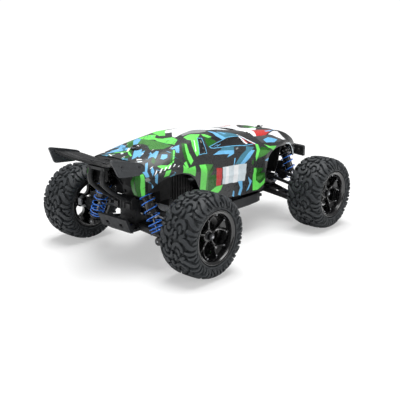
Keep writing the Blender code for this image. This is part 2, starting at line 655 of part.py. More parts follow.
def front_carrier(tag, axle_x, out, side):
    carrier, window = hub_carrier(tag, axle_x, out, side)
    cut(carrier, window)
    for z0, z1 in ((22, 30), (45, 53)):
        cut(carrier, z_rod("kingpin_hole", axle_x, side * KINGPIN_Y, z0, z1, 2.0))


def knuckle(tag, axle_x, side):
    """Front bearing housing, steering on the kingpin."""
    y = side * KINGPIN_Y
    centre = (axle_x, y, AXLE_Z)
    body = lathe(f"{tag}_knuckle", BEARING_TUBE, centre, (0, side, 0), 12,
                 origin=centre, ring=True)
    join(body,
         z_rod("kingpin_low", axle_x, y, 25.2, AXLE_Z - 6.2, 1.7, STEEL),
         z_rod("kingpin_high", axle_x, y, AXLE_Z + 6.2, 49.8, 1.7, STEEL),
         z_rod("boss_low", axle_x, y, 28.8, AXLE_Z - 6.0, 3.0),
         z_rod("boss_high", axle_x, y, AXLE_Z + 6.0, 46.2, 3.0),
         box("steering_arm", (axle_x + ROD_OFF - 2.2, axle_x - 5.8), (y - 2.0, y + 2.0),
             (36.4, 39.2)),
         z_rod("rod_stud", axle_x + ROD_OFF, side * ROD_OUT[0], 38.5, 46.4, 1.0, STEEL))


# ================================================================ drive shafts
BALL_R = 2.1


def dogbone(tag, axle_x, side):
    """Drive shaft with a ball at each end."""
    start = Vector((axle_x, side * BONE_IN[0], BONE_IN[1]))
    end = Vector((axle_x, side * BONE_OUT[0], BONE_OUT[1]))
    length = (end - start).length
    ball = [(BALL_R * math.sin(t), -BALL_R * math.cos(t)) for t in (0.9, 1.57, 2.2)]
    profile = [(0, -BALL_R)] + ball + [(1.2, 2.0), (1.2, length - 2.0)]
    profile += [(r, length - h) for r, h in reversed(ball)] + [(0, length + BALL_R)]
    lathe(f"{tag}_dogbone", profile, start, end - start, 8, STEEL, origin=start)


# ================================================================ shocks
SEAT_R = 6.9              # radius of both spring seats
TOP_SEAT = 9.4            # upper seat face, from the upper eye
SPRING_R = 6.3            # mean coil radius
SPRING_WIRE = 0.65        # wire radius
SPRING_TURNS = 6
SPRING_STEPS = 6          # path points per turn
TOP_BORE, LOW_BORE = 1.85, 2.4
SHOCK_BODY = [            # radius, distance from the upper eye
    (0, 2.6), (4.0, 2.6), (4.5, 7.4), (SEAT_R, 7.8), (SEAT_R, 9.2), (4.5, TOP_SEAT),
    (4.5, 30.0), (1.75, 30.0), (1.75, 10.0), (0, 10.0)]


def eye(ob, name, centre, bore, radius):
    """Add an eye along X and clear its bore."""
    join(ob, sleeve(name, bore, radius, -2.0, 2.0, centre, X_AXIS, 10, SHOCK_BLACK))
    cut(ob, x_rod("eye_bore", centre.x - 6, centre.x + 6, centre.y, centre.z, bore,
                  SHOCK_BLACK, segs=10))


def shock(tag, axle_x, out, side):
    """Body, shaft with the lower seat, and spring."""
    shock_x = axle_x + out * SHOCK_OFF
    top = Vector((shock_x, side * SHOCK_TOP[0], SHOCK_TOP[1]))
    low = Vector((shock_x, side * SHOCK_LOW[0], SHOCK_LOW[1]))
    down = (low - top).normalized()
    length = (low - top).length
    seat = length - 8.4

    body = lathe(f"{tag}_shock_body", SHOCK_BODY, top, down, 10, SHOCK_BLACK, origin=top)
    eye(body, "shock_eye", top, TOP_BORE, 3.7)

    profile = [(0, 22.0), (1.35, 22.0), (1.35, seat), (SEAT_R, seat), (SEAT_R, seat + 1.2),
               (1.9, seat + 1.9), (1.9, length - 3.0), (0, length - 3.0)]
    shaft = lathe(f"{tag}_shock_shaft", profile, top, down, 10, STEEL, origin=low)
    eye(shaft, "lower_eye", low, LOW_BORE, 4.1)

    # coil between the two seats, its turns closer together at both ends
    _, across, third = frame_for(down)
    start = TOP_SEAT + SPRING_WIRE + 0.15
    end = seat - SPRING_WIRE - 0.3
    count = SPRING_TURNS * SPRING_STEPS
    path = []
    for k in range(count + 1):
        f = k / count
        travel = f - 0.055 * math.sin(2 * math.pi * f)
        angle = 2 * math.pi * SPRING_TURNS * f
        path.append(top + down * (start + (end - start) * travel)
                    + across * (SPRING_R * math.cos(angle))
                    + third * (SPRING_R * math.sin(angle) * side))
    sweep(f"{tag}_spring", path, SPRING_WIRE, 4, SPRING_BLUE, origin=top)


# ================================================================ wheels
TYRE_R = AXLE_Z           # the tyres stand on the ground
TYRE_HALF = 39.0 / 2      # half the tyre width
BEAD_R = 22.6             # inner radius of the tyre
RIM_LIP_R = 24.2          # outer flange of the rim
RIM_LIP_Y = 16.8          # flange distance from the middle of the tyre
RIM_IN_R = 20.4           # inner barrel radius
SEAT_R_RIM = BEAD_R - 0.35
SPOKES = 5
SPOKE_ROOT_R = 6.0
SPOKE_CORNERS = [         # radius, angle off the spoke's middle
    (SPOKE_ROOT_R, -0.36), (RIM_IN_R + 0.9, -0.20), (RIM_IN_R + 0.9, 0.20), (SPOKE_ROOT_R, 0.36)]
# profiles are radius, distance outboard of the middle of the tyre
BARREL = [
    (RIM_IN_R, -RIM_LIP_Y - 0.2), (RIM_LIP_R, -RIM_LIP_Y - 0.2), (RIM_LIP_R, -RIM_LIP_Y + 1.5),
    (SEAT_R_RIM, -RIM_LIP_Y + 1.8), (SEAT_R_RIM, RIM_LIP_Y - 1.8), (RIM_LIP_R, RIM_LIP_Y - 1.5),
    (RIM_LIP_R, RIM_LIP_Y + 0.2), (RIM_IN_R, RIM_LIP_Y + 0.2)]
KINGPIN_REL = KINGPIN_Y - TRACK_Y
HUB = [
    (0, KINGPIN_REL + 3.0), (4.7, KINGPIN_REL + 3.0), (4.7, KINGPIN_REL + 3.6),
    (2.5, KINGPIN_REL + 3.6), (2.5, -12.2), (6.4, -12.2), (7.2, 8.6), (4.2, 9.2),
    (4.0, 12.8), (0, 12.8)]
TYRE = [
    (BEAD_R, -14.4), (RIM_LIP_R + 0.5, -15.0), (RIM_LIP_R + 0.6, -17.6), (31.5, -TYRE_HALF),
    (35.8, -TYRE_HALF + 3.6), (TYRE_R, -TYRE_HALF + 10.5), (TYRE_R, TYRE_HALF - 10.5),
    (35.8, TYRE_HALF - 3.6), (31.5, TYRE_HALF), (RIM_LIP_R + 0.6, 17.6),
    (RIM_LIP_R + 0.5, 15.0), (BEAD_R, 14.4), (BEAD_R, 12.0), (32.4, 15.0), (32.4, -15.0),
    (BEAD_R, -12.0)]


def wheel(tag, axle_x, side):
    """Rim with spokes, hub and drive shaft cup, and a hollow tyre."""
    centre = (axle_x, side * TRACK_Y, AXLE_Z)
    outward = (0, side, 0)
    rim = lathe(f"{tag}_rim", BARREL, centre, outward, 18, RIM_BLACK, origin=centre, ring=True)
    star = []
    for spoke in range(SPOKES):
        middle = math.pi / 2 + spoke * 2 * math.pi / SPOKES
        for radius, turn in SPOKE_CORNERS:
            star.append((axle_x + radius * math.cos(middle + turn),
                         AXLE_Z + radius * math.sin(middle + turn)))
    low_y, high_y = sorted((side * (TRACK_Y + 4.0), side * (TRACK_Y + 7.6)))
    join(rim,
         prism("spokes", star, 'Y', low_y, high_y, RIM_BLACK),
         lathe("hub", HUB, centre, outward, 10, RIM_BLACK),
         sleeve("wheel_cup", 3.4, 4.7, KINGPIN_REL - 2.5, KINGPIN_REL + 3.4, centre, outward,
                10, STEEL))
    lathe(f"{tag}_tyre", TYRE, centre, outward, 22, RUBBER, origin=centre, ring=True)


for end, (axle_x, out) in ENDS.items():
    for side_name, side in SIDES.items():
        tag = f"{end}_{side_name}"
        lower_arm(tag, axle_x, out, side)
        upper_link(tag, axle_x, out, side)
        if end == "rear":
            rear_carrier(tag, axle_x, out, side)
        else:
            front_carrier(tag, axle_x, out, side)
            knuckle(tag, axle_x, side)
        dogbone(tag, axle_x, side)
        shock(tag, axle_x, out, side)
        wheel(tag, axle_x, side)

# ================================================================ steering
ROD_X = FRONT_X + ROD_OFF
HORN_HALF = [             # x, y from the servo output; slotted at the front
    (-3.6, -2.4), (-2.2, -3.6), (3, -3.8), (15.6, -3.2), (15.6, -1.45), (9.4, -1.45)]

rack = box("steering_rack", (ROD_X - 6.2, ROD_X - 3.0), (-25.0, 25.0), (48.0, 52.0))
for side in (1, -1):
    join(rack, x_rod("rod_pin", ROD_X - 3.6, ROD_X + 2.4, side * ROD_IN[0], ROD_IN[1],
                     PIN_R, STEEL))
# pin reaching down into the slot of the horn
join(rack, z_rod("rack_pin", ROD_X - 4.6, SERVO_Y, 44.8, 48.8, 1.0, STEEL))
prism("servo_horn", [(HORN_X + x, SERVO_Y + y) for x, y in mirrored(HORN_HALF, 1)],
      'Z', 45.3, 47.5, origin=(HORN_X, SERVO_Y, 46.4))


def tie_rod(side_name, side):
    """Bar with an eye on the rack pin and a ring round the knuckle stud."""
    inner = (ROD_X, side * ROD_IN[0], ROD_IN[1])
    far = (Vector(ROD_OUT) - Vector(ROD_IN)).length - 3.4
    outline = [(2.2, -1.3), (far, -1.3), (far, 1.3), (2.2, 1.3)]
    bar = link_prism(f"{side_name}_tie_rod", outline, -1.3, 1.3, ROD_X, side, ROD_IN, ROD_OUT,
                     STEEL, inner)
    join(bar, sleeve("rod_eye", PIN_BORE, 3.0, -1.7, 1.7, inner, X_AXIS, 8))
    square = Vector((0, side * (ROD_IN[1] - ROD_OUT[1]), ROD_OUT[0] - ROD_IN[0]))
    join(bar, sleeve("rod_ring", 3.1, 4.6, -1.4, 1.4, (ROD_X, side * ROD_OUT[0], ROD_OUT[1]),
                     square, 14))


for side_name, side in SIDES.items():
    tie_rod(side_name, side)

# ================================================================ parenting
truck = bpy.data.objects.new("rc_truck", None)
bpy.context.scene.collection.objects.link(truck)
for ob in list(bpy.data.objects):
    if ob.type == 'MESH' and not ob.hide_render:
        ob.parent = truck
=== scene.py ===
"""Looks for a radio-controlled monster truck: detailed meshes and procedural
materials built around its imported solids. The truck points along +X with its
left side on +Y, and stands on the floor at z = 0. Lengths are in millimetres
and are turned into metres when a mesh is made."""
import math

import bmesh
import bpy
import numpy as np
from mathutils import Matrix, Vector

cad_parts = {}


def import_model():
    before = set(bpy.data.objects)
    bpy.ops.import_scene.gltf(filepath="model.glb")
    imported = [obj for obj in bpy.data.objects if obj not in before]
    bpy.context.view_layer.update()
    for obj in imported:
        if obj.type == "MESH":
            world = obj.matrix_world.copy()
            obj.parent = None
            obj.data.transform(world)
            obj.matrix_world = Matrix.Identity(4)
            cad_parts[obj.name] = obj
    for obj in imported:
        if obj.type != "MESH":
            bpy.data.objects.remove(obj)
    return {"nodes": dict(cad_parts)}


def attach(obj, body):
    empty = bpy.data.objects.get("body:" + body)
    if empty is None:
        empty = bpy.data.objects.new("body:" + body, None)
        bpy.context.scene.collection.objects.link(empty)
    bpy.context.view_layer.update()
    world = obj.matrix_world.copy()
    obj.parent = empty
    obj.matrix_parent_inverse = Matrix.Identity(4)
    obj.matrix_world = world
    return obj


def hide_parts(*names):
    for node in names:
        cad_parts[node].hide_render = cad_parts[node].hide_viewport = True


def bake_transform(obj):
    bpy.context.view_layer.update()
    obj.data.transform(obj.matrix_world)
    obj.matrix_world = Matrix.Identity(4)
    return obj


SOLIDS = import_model()["nodes"]
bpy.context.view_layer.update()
MM = 0.001
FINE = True

TYRE_R = 37.5
AXLE_Z = TYRE_R
TRACK_Y = 81.0                                         # middle of the truck to a wheel's middle
ENDS = {"front": (101.0, 1.0), "rear": (-86.0, -1.0)}  # axle x, direction away from the middle
SIDES = {"left": 1.0, "right": -1.0}                   # sign of y
CORNERS = [(f"{end}_{name}", axle_x, fore, side)
           for end, (axle_x, fore) in ENDS.items() for name, side in SIDES.items()]


def points(text):
    """Turns "a,b c,d" into [(a, b), (c, d)]."""
    return [tuple(map(float, group.split(","))) for group in text.split()]


# ================================================================ materials
MATERIALS = {}          # finished materials by name, without the leading m_


class Shader:
    """A material and short ways to build its node tree."""

    def __init__(self, name):
        self.name = name
        self.material = bpy.data.materials.new("m_" + name)
        self.material.use_nodes = True
        self.tree = self.material.node_tree
        self.bsdf = self.tree.nodes["Principled BSDF"]
        self.coords = self.tree.nodes.new("ShaderNodeTexCoord").outputs["Object"]

    def feed(self, socket, value):
        """Links another socket to this one, or sets its value."""
        if isinstance(value, bpy.types.NodeSocket):
            self.tree.links.new(value, socket)
        elif socket.type == "RGBA":
            socket.default_value = (*value, 1.0)
        else:
            socket.default_value = value

    def node(self, kind, settings=(), **inputs):
        node = self.tree.nodes.new(kind)
        for key, value in dict(settings).items():
            setattr(node, key, value)
        for key, value in inputs.items():
            self.feed(node.inputs[key.replace("_", " ")], value)
        return node

    def noise(self, scale, detail=4.0, roughness=0.55, stretch=None):
        source = self.coords
        if stretch:
            mapping = self.node("ShaderNodeMapping", Vector=source, Scale=stretch)
            source = mapping.outputs["Vector"]
        return self.node("ShaderNodeTexNoise", Scale=scale, Detail=detail,
                         Roughness=roughness, Vector=source).outputs["Fac"]

    def ramp(self, value, start, end, low=0.0, high=1.0):
        """Maps start..end to low..high."""
        return self.node("ShaderNodeMapRange", Value=value, From_Min=start, From_Max=end,
                         To_Min=low, To_Max=high).outputs["Result"]

    def multiply(self, first, second):
        node = self.node("ShaderNodeMath", {"operation": "MULTIPLY"})
        self.feed(node.inputs[0], first)
        self.feed(node.inputs[1], second)
        return node.outputs[0]

    def mix(self, factor, first, second):
        """Colour mix; the colour sockets of the node are numbers 6 and 7."""
        node = self.node("ShaderNodeMix", {"data_type": "RGBA"})
        for index, value in ((0, factor), (6, first), (7, second)):
            self.feed(node.inputs[index], value)
        return node.outputs[2]

    def bump(self, height, strength, distance, **normal):
        return self.node("ShaderNodeBump", Strength=strength, Distance=distance * MM,
                         Height=height, **normal).outputs["Normal"]

    def worn_edges(self, amount, start=0.51):
        """Bright on convex edges."""
        geometry = self.node("ShaderNodeNewGeometry")
        edges = self.ramp(geometry.outputs["Pointiness"], start=start, end=0.62)
        return self.multiply(edges, amount)

    def set(self, **values):
        for key, value in values.items():
            self.feed(self.bsdf.inputs[key.replace("_", " ")], value)

    def finish(self, colour, **values):
        self.set(**values)
        self.material.diffuse_color = (*colour, 1.0)
        MATERIALS[self.name] = self.material


def tinted(colour, factor, lift=0.0):
    """Colour times a factor plus a little, no channel over 1."""
    return tuple(min(1.0, channel * factor + lift) for channel in colour)


def plastic(name, colour, roughness, grain, wear, coat, specular, rubbed=None):
    """Moulded plastic: fine grain, uneven gloss, slightly paler rubbed edges."""
    shader = Shader(name)
    patches = shader.ramp(shader.noise(scale=60.0, detail=3.0), start=0.3, end=0.75)
    tone = shader.mix(patches, colour, tinted(colour, 1.28, 0.002))
    tone = shader.mix(shader.worn_edges(wear), tone, rubbed or tinted(colour, 2.2, 0.02))
    gloss = shader.ramp(shader.noise(scale=220.0), start=0.3, end=0.7,
                        low=roughness * 0.82, high=min(1.0, roughness * 1.25))
    fine = shader.noise(scale=1500.0, detail=3.0, roughness=0.6)
    shader.finish(colour, Base_Color=tone, Roughness=gloss,
                  Normal=shader.bump(fine, strength=grain, distance=0.06),
                  Coat_Weight=coat, Coat_Roughness=0.12, Specular_IOR_Level=specular)


def paint(name, colour, roughness=0.3, coat=0.10):
    """Glossy painted skin with faint scuffs, specks and long waves."""
    shader = Shader(name)
    patches = shader.ramp(shader.noise(scale=95.0, detail=5.0), start=0.35, end=0.7)
    tone = shader.mix(patches, tinted(colour, 0.9), tinted(colour, 1.06, 0.002))
    cells = shader.node("ShaderNodeTexVoronoi", Scale=2600.0, Vector=shader.coords)
    specks = shader.ramp(cells.outputs["Distance"], start=0.0, end=0.25, low=0.05, high=0.0)
    tone = shader.mix(specks, tone, tinted(colour, 0.7, 0.3))
    scuffs = shader.noise(scale=420.0, detail=6.0, roughness=0.7, stretch=(1.0, 9.0, 1.0))
    waves = shader.noise(scale=38.0, detail=2.0, roughness=0.4)
    wavy = shader.bump(waves, strength=0.08, distance=0.5)
    gloss = shader.ramp(scuffs, start=0.35, end=0.75, low=roughness * 0.7, high=roughness * 1.6)
    shader.finish(colour, Base_Color=tone, Roughness=gloss,
                  Normal=shader.bump(scuffs, strength=0.03, distance=0.03, Normal=wavy),
                  Coat_Weight=coat, Coat_Roughness=0.08, Specular_IOR_Level=0.30)


def metal(name, colour, roughness, stretch=(1.0, 1.0, 14.0)):
    """Machined metal: brushed in one direction, uneven gloss."""
    shader = Shader(name)
    brushed = shader.noise(scale=900.0, roughness=0.6, stretch=stretch)
    patches = shader.ramp(shader.noise(scale=130.0), start=0.35, end=0.7)
    tone = shader.mix(patches, tinted(colour, 0.8), tinted(colour, 1.1))
    gloss = shader.ramp(brushed, start=0.3, end=0.7, low=roughness * 0.7, high=roughness * 1.5)
    shader.finish(colour, Base_Color=tone, Metallic=1.0, Roughness=gloss,
                  Normal=shader.bump(brushed, strength=0.12, distance=0.03))


def rubber(name, colour, roughness):
    """Tyre rubber: fine pores, uneven bloom, worn paler high spots."""
    shader = Shader(name)
    pores = shader.noise(scale=1500.0, roughness=0.7)
    lumps = shader.noise(scale=240.0, roughness=0.6)
    bloom = shader.noise(scale=55.0, detail=5.0, roughness=0.6)
    tone = shader.mix(shader.ramp(bloom, start=0.35, end=0.7), colour, tinted(colour, 1.45))
    tone = shader.mix(shader.worn_edges(0.36, start=0.504), tone, tinted(colour, 2.6, 0.01))
    lumpy = shader.bump(lumps, strength=0.35, distance=0.25)
    gloss = shader.ramp(lumps, start=0.3, end=0.7,
                        low=roughness * 0.85, high=min(1.0, roughness * 1.2))
    shader.finish(colour, Base_Color=tone, Roughness=gloss,
                  Normal=shader.bump(pores, strength=0.55, distance=0.10, Normal=lumpy),
                  Specular_IOR_Level=0.38)


# colour, roughness, grain depth, edge wear, clear coat, specular level and, where
# it isn't simply paler, the colour of rubbed edges
PLASTICS = {
    "rim_gloss_black": ((0.0055, 0.0055, 0.006), 0.16, 0.05, 0.05, 0.7, 0.5),
    "rim_inside_black": ((0.006, 0.006, 0.0065), 0.35, 0.1, 0.03, 0.0, 0.5),
    "chassis_black": ((0.014, 0.0145, 0.0155), 0.44, 0.5, 0.30, 0.0, 0.3),
    "tray_black": ((0.017, 0.0175, 0.019), 0.5, 0.5, 0.20, 0.0, 0.3),
    "bumper_grey": ((0.022, 0.023, 0.025), 0.55, 0.6, 0.2, 0.0, 0.3),
    "arm_black": ((0.013, 0.0135, 0.0145), 0.38, 0.45, 0.35, 0.0, 0.34),
    "wing_black": ((0.011, 0.0115, 0.0125), 0.46, 0.45, 0.22, 0.08, 0.22),
    "wing_plate_grey": ((0.026, 0.029, 0.033), 0.5, 0.45, 0.2, 0.0, 0.5),
    "wing_mount_black": ((0.012, 0.0125, 0.0135), 0.36, 0.4, 0.3, 0.0, 0.34),
    "spring_blue": ((0.012, 0.15, 0.66), 0.24, 0.05, 0.15, 0.6, 0.5, (0.25, 0.5, 1.0)),
    "shock_black": ((0.010, 0.010, 0.011), 0.24, 0.15, 0.2, 0.3, 0.5),
    "battery_wrap": ((0.016, 0.017, 0.020), 0.25, 0.1, 0.1, 0.4, 0.5),
    "servo_case": ((0.012, 0.012, 0.013), 0.4, 0.4, 0.2, 0.0, 0.5),
    # near-black sheets of painted shade, standing in for the shaded inside of the shell
    "shade_fill_black": ((0.0045, 0.0045, 0.005), 0.62, 0.3, 0.04, 0.0, 0.2),
    "shell_backing": ((0.018, 0.019, 0.020), 0.55, 0.2, 0.1, 0.0, 0.2),
}
# colour, roughness
METALS = {
    "piston_dark_chrome": ((0.22, 0.225, 0.235), 0.16),
    "steel": ((0.42, 0.43, 0.45), 0.3),
    "screw_bright": ((0.62, 0.62, 0.63), 0.24),
    "screw_black_oxide": ((0.055, 0.056, 0.06), 0.34),
    "brass_bush": ((0.62, 0.42, 0.16), 0.3),
}
# colours of the body shell
PAINT = {
    "black": (0.012, 0.013, 0.014), "carbon": (0.032, 0.0335, 0.0345),
    "bright": (0.165, 0.80, 0.125), "dark": (0.014, 0.122, 0.009),
    "muted": (0.060, 0.235, 0.045), "sky": (0.165, 0.475, 0.77),
    "teal": (0.060, 0.205, 0.285), "white": (0.88, 0.90, 0.92),
    "silver": (0.66, 0.74, 0.78), "red": (0.53, 0.034, 0.032),
    "grey": (0.26, 0.27, 0.27), "skyline": (0.150, 0.460, 0.72),
    "glass": (0.008, 0.0085, 0.010), "smoke": (0.075, 0.078, 0.080),
}
PAINT_NAMES = list(PAINT)


def make_materials():
    rubber("tyre_rubber", (0.019, 0.0215, 0.024), roughness=0.58)
    rubber("tyre_sidewall", (0.019, 0.021, 0.023), roughness=0.56)
    for name, values in PLASTICS.items():
        plastic(name, *values)
    for name, values in METALS.items():
        metal(name, *values)
    metal("motor_can", (0.5, 0.51, 0.53), roughness=0.28, stretch=(14.0, 1.0, 1.0))
    for name, colour in PAINT.items():
        gloss = {"roughness": 0.12, "coat": 0.5} if name == "glass" else {}
        paint("paint_" + name, colour, **gloss)
    paint("wire_red", (0.45, 0.02, 0.02), roughness=0.4)


make_materials()


# ================================================================ mesh tools
def mesh_object(name, verts, faces, mats, face_mats=None, sharp=40.0, recalculate=True):
    """Smooth object from millimetre points; edges over `sharp` degrees stay sharp."""
    mesh = bpy.data.meshes.new(name)
    mesh.from_pydata([tuple(c * MM for c in v) for v in verts], [], [tuple(f) for f in faces])
    mesh.validate()
    for mat in mats:
        mesh.materials.append(MATERIALS[mat])
    if face_mats is not None:
        mesh.polygons.foreach_set("material_index", np.array(face_mats, np.int32))
    if recalculate:
        work = bmesh.new()
        work.from_mesh(mesh)
        bmesh.ops.recalc_face_normals(work, faces=work.faces)
        work.to_mesh(mesh)
        work.free()
    mesh.shade_smooth()
    if sharp:
        mesh.set_sharp_from_angle(angle=math.radians(sharp))
    obj = bpy.data.objects.new(name, mesh)
    bpy.context.scene.collection.objects.link(obj)
    return obj


def register(obj, rider=None, replaces=None):
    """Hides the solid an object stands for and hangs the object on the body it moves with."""
    if replaces:
        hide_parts(replaces)
    if rider:
        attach(obj, rider)
    return obj


def bevel(obj, width, segments, angle):
    modifier = obj.modifiers.new("edge_round", "BEVEL")
    modifier.width = width * MM
    modifier.segments = segments
    modifier.limit_method = "ANGLE"
    modifier.angle_limit = math.radians(angle)
    modifier.harden_normals = True
    modifier.use_clamp_overlap = True


class Pieces:
    """Collects several closed bodies into one mesh."""

    def __init__(self):
        self.verts, self.faces, self.mats = [], [], []

    def add(self, shape, mat=0):
        """Adds a (points, faces) pair in the material slot `mat`."""
        verts, faces = shape
        offset = len(self.verts)
        self.verts.extend(tuple(float(c) for c in point) for point in verts)
        for face in faces:
            self.faces.append(tuple(i + offset for i in face))
            self.mats.append(mat)

    def make(self, name, mats, rider="chassis", sharp=40.0, replaces=None):
        obj = mesh_object(name, self.verts, self.faces, mats, self.mats, sharp)
        return register(obj, rider, replaces)


def lattice(rows, columns, closed=True):
    """Quads between rows of points; closed joins the last column to the first."""
    return [(i * columns + k, i * columns + (k + 1) % columns,
             (i + 1) * columns + (k + 1) % columns, (i + 1) * columns + k)
            for i in range(rows - 1) for k in range(columns if closed else columns - 1)]


def end_caps(rows, columns):
    return [tuple(range(columns)), tuple(range((rows - 1) * columns, rows * columns))]


def axes_of(direction):
    """The unit direction and two unit vectors square to it."""
    along = Vector(direction).normalized()
    reference = Vector((1, 0, 0)) if abs(along.x) < 0.9 else Vector((0, 0, 1))
    across = reference.cross(along).normalized()
    return along, across, along.cross(across)


def turned(profile, segs, centre=(0, 0, 0), direction=(0, 1, 0), ring=False):
    """Turned body from (radius, height) points; ring joins the last to the first."""
    along, across, third = axes_of(direction)
    centre = Vector(centre)
    verts, loops = [], []
    for radius, height in profile:
        if radius < 1e-6:
            loops.append([len(verts)])
            verts.append(tuple(centre + along * height))
            continue
        loops.append(list(range(len(verts), len(verts) + segs)))
        for k in range(segs):
            turn = 2 * math.pi * k / segs
            verts.append(tuple(centre + along * height + across * (radius * math.cos(turn))
                               + third * (radius * math.sin(turn))))
    faces = []
    pairs = list(zip(loops, loops[1:]))
    if ring:
        pairs.append((loops[-1], loops[0]))
    for low, high in pairs:
        if len(low) == 1 and len(high) == 1:
            continue
        for k in range(segs):
            after = (k + 1) % segs
            if len(low) == 1:
                faces.append((low[0], high[k], high[after]))
            elif len(high) == 1:
                faces.append((low[k], high[0], low[after]))
            else:
                faces.append((low[k], high[k], high[after], low[after]))
    return verts, faces


def tube(path, radius, sides):
    """Round tube along points; radius may be one number or one per point."""
    path = [Vector(point) for point in path]
    count = len(path)
    radii = radius if isinstance(radius, list) else [radius] * count
    verts = []
    across = None
    for i, point in enumerate(path):
        along = (path[min(i + 1, count - 1)] - path[max(i - 1, 0)]).normalized()
        if across is None:
            across = axes_of(along)[1]
        else:
            across = (across - along * across.dot(along)).normalized()
        third = along.cross(across)
        for k in range(sides):
            turn = 2 * math.pi * k / sides
            verts.append(tuple(point + across * (radii[i] * math.cos(turn))
                               + third * (radii[i] * math.sin(turn))))
    first, last = end_caps(count, sides)
    return verts, lattice(count, sides) + [first[::-1], last]


def screw_head(centre, direction, radius, height=None):
    """Screw head with a round socket, standing on centre."""
    height = height or radius * 0.75
    outside = [(0, -0.4), (radius * 0.96, -0.4), (radius, 0.0), (radius, height * 0.62),
               (radius * 0.93, height * 0.86), (radius * 0.78, height)]
    socket = [(radius * 0.52, height), (radius * 0.46, height - 0.12 * radius),
              (radius * 0.44, height * 0.35), (0, height * 0.3)]
    return turned(outside + socket, 12, centre, direction)


def spline(path, steps):
    """Catmull-Rom curve through points."""
    knots = [Vector(point) for point in path]
    knots = [knots[0] * 2 - knots[1]] + knots + [knots[-1] * 2 - knots[-2]]
    out = []
    for i in range(1, len(knots) - 2):
        p0, p1, p2, p3 = knots[i - 1:i + 3]
        for step in range(steps):
            t = step / steps
            out.append(0.5 * (2 * p1 + (p2 - p0) * t + (2 * p0 - 5 * p1 + 4 * p2 - p3) * t * t
                              + (3 * p1 - p0 - 3 * p2 + p3) * t ** 3))
    out.append(knots[-2])
    return out


def prism(outline, axis, low, high):
    """Flat outline drawn out along an axis."""
    def put(first, second, depth):
        return {"X": (depth, first, second), "Y": (first, depth, second),
                "Z": (first, second, depth)}[axis]
    verts = [put(*point, depth) for depth in (low, high) for point in outline]
    return verts, prism_faces(len(outline))


def prism_faces(count):
    faces = [tuple(range(count)), tuple(range(2 * count - 1, count - 1, -1))]
    return faces + [(i, (i + 1) % count, count + (i + 1) % count, count + i)
                    for i in range(count)]


def block(x, y, z):
    """Box between pairs of limits."""
    return prism([(x[0], y[0]), (x[1], y[0]), (x[1], y[1]), (x[0], y[1])], "Z", z[0], z[1])


def on_side(side, outline):
    """(y, z) outline put on one side of the truck."""
    return [(side * y, z) for y, z in outline]


# ================================================================ body shell surface
# Design tables of (x, value): heights and half widths of the shell's long lines.
TOP_Z = points("""-118,96.5 -98,99 -74,103.5 -47,108.2 -34,110 4,108.8 28,105.6 50,102.6 71,101
    90,98.8 110,94.4 125,88.6 136,82 141.5,76.5""")
ROOF_W = points("-118,21 -74,20.5 -34,20 4,20.5 28,22 71,22 110,20.5 141.5,17")
BELT_W = points("""-118,32 -104,38 -86,43.5 -68,45.5 -30,46 50,45.5 62,43.5 90,40 110,33.5
    125,29 135,25.5 141.5,20.5""")
BELT_Z = points("""-118,84 -86,86.5 -60,84 -30,79 20,78 50,80 70,86.5 90,87.5 110,84.5
    125,79.5 141.5,70.5""")
SILL_Z = points("""-118,69 -112,67.5 -108,69 -100,75.5 -90,80.5 -76,82.5 -64,80 -56,75 -50,66
    -46,60 -30,51.5 -12,47.5 10,45 40,43.8 49,43.6 53.5,48.5 55.2,57 57,68 62,76.5 70,81.5
    82,83.5 96,83 108,82 116,80 122,76.5 127,70 132,64 141.5,62.5""")
SILL_W = points("""-118,36.5 -112,38 -86,43 -60,45 -46,44 0,44.6 46,44.6 58,43.5 90,39 110,33
    122,29.5 127,27.5 141.5,19""")
TAIL_X, NOSE_X = -118.0, 141.5


def curve(table, x):
    """Shape-preserving cubic through a design table."""
    knots, values = np.array(table, float).T
    step = np.diff(knots)
    slope = np.diff(values) / step
    tangent = np.zeros(len(knots))
    tangent[0], tangent[-1] = slope[0], slope[-1]
    for k in range(1, len(knots) - 1):
        if slope[k - 1] * slope[k] > 0:
            before, after = 2 * step[k] + step[k - 1], step[k] + 2 * step[k - 1]
            tangent[k] = (before + after) / (before / slope[k - 1] + after / slope[k])
    x = np.clip(np.asarray(x, float), knots[0], knots[-1])
    i = np.clip(np.searchsorted(knots, x, side="right") - 1, 0, len(knots) - 2)
    t = (x - knots[i]) / step[i]
    return ((1 + 2 * t) * (1 - t) ** 2 * values[i] + t * (1 - t) ** 2 * step[i] * tangent[i]
            + t * t * (3 - 2 * t) * values[i + 1] + t * t * (t - 1) * step[i] * tangent[i + 1])


CORNER_RADII = [0.0, 6.0, 5.0, 6.0, 3.0, 0.0]


def section_corners(x):
    """Corners (y, z) of half a section, from the middle of the roof down to a
    straight lower side."""
    top, roof_w, belt_w, belt_z, sill_w = (
        float(curve(table, x)) for table in (TOP_Z, ROOF_W, BELT_W, BELT_Z, SILL_W))

    def between(outward, upward):
        """Point between belt and roof edge, by shares of the way out and up."""
        return (roof_w + (belt_w - roof_w) * outward, belt_z + (top - belt_z) * upward)
    return [(0.0, top), (roof_w * 0.55, top - 0.4), between(0.22, 0.92), between(0.62, 0.56),
            (belt_w, belt_z), (min(sill_w, belt_w) - 0.2, min(42.0, belt_z - 8.0))]


def rounded(corners, radii, steps=7):
    """Polyline with each corner replaced by a small parabola."""
    corners = [np.array(corner, float) for corner in corners]
    out = [corners[0]]
    for k in range(1, len(corners) - 1):
        before, corner, after = corners[k - 1:k + 2]
        length_in, length_out = np.linalg.norm(corner - before), np.linalg.norm(after - corner)
        cut = min(radii[k], length_in * 0.48, length_out * 0.48)
        start = corner - (corner - before) / length_in * cut
        end = corner + (after - corner) / length_out * cut
        for s in np.linspace(0, 1, steps):
            out.append((1 - s) ** 2 * start + 2 * s * (1 - s) * corner + s * s * end)
    out.append(corners[-1])
    return np.array(out)


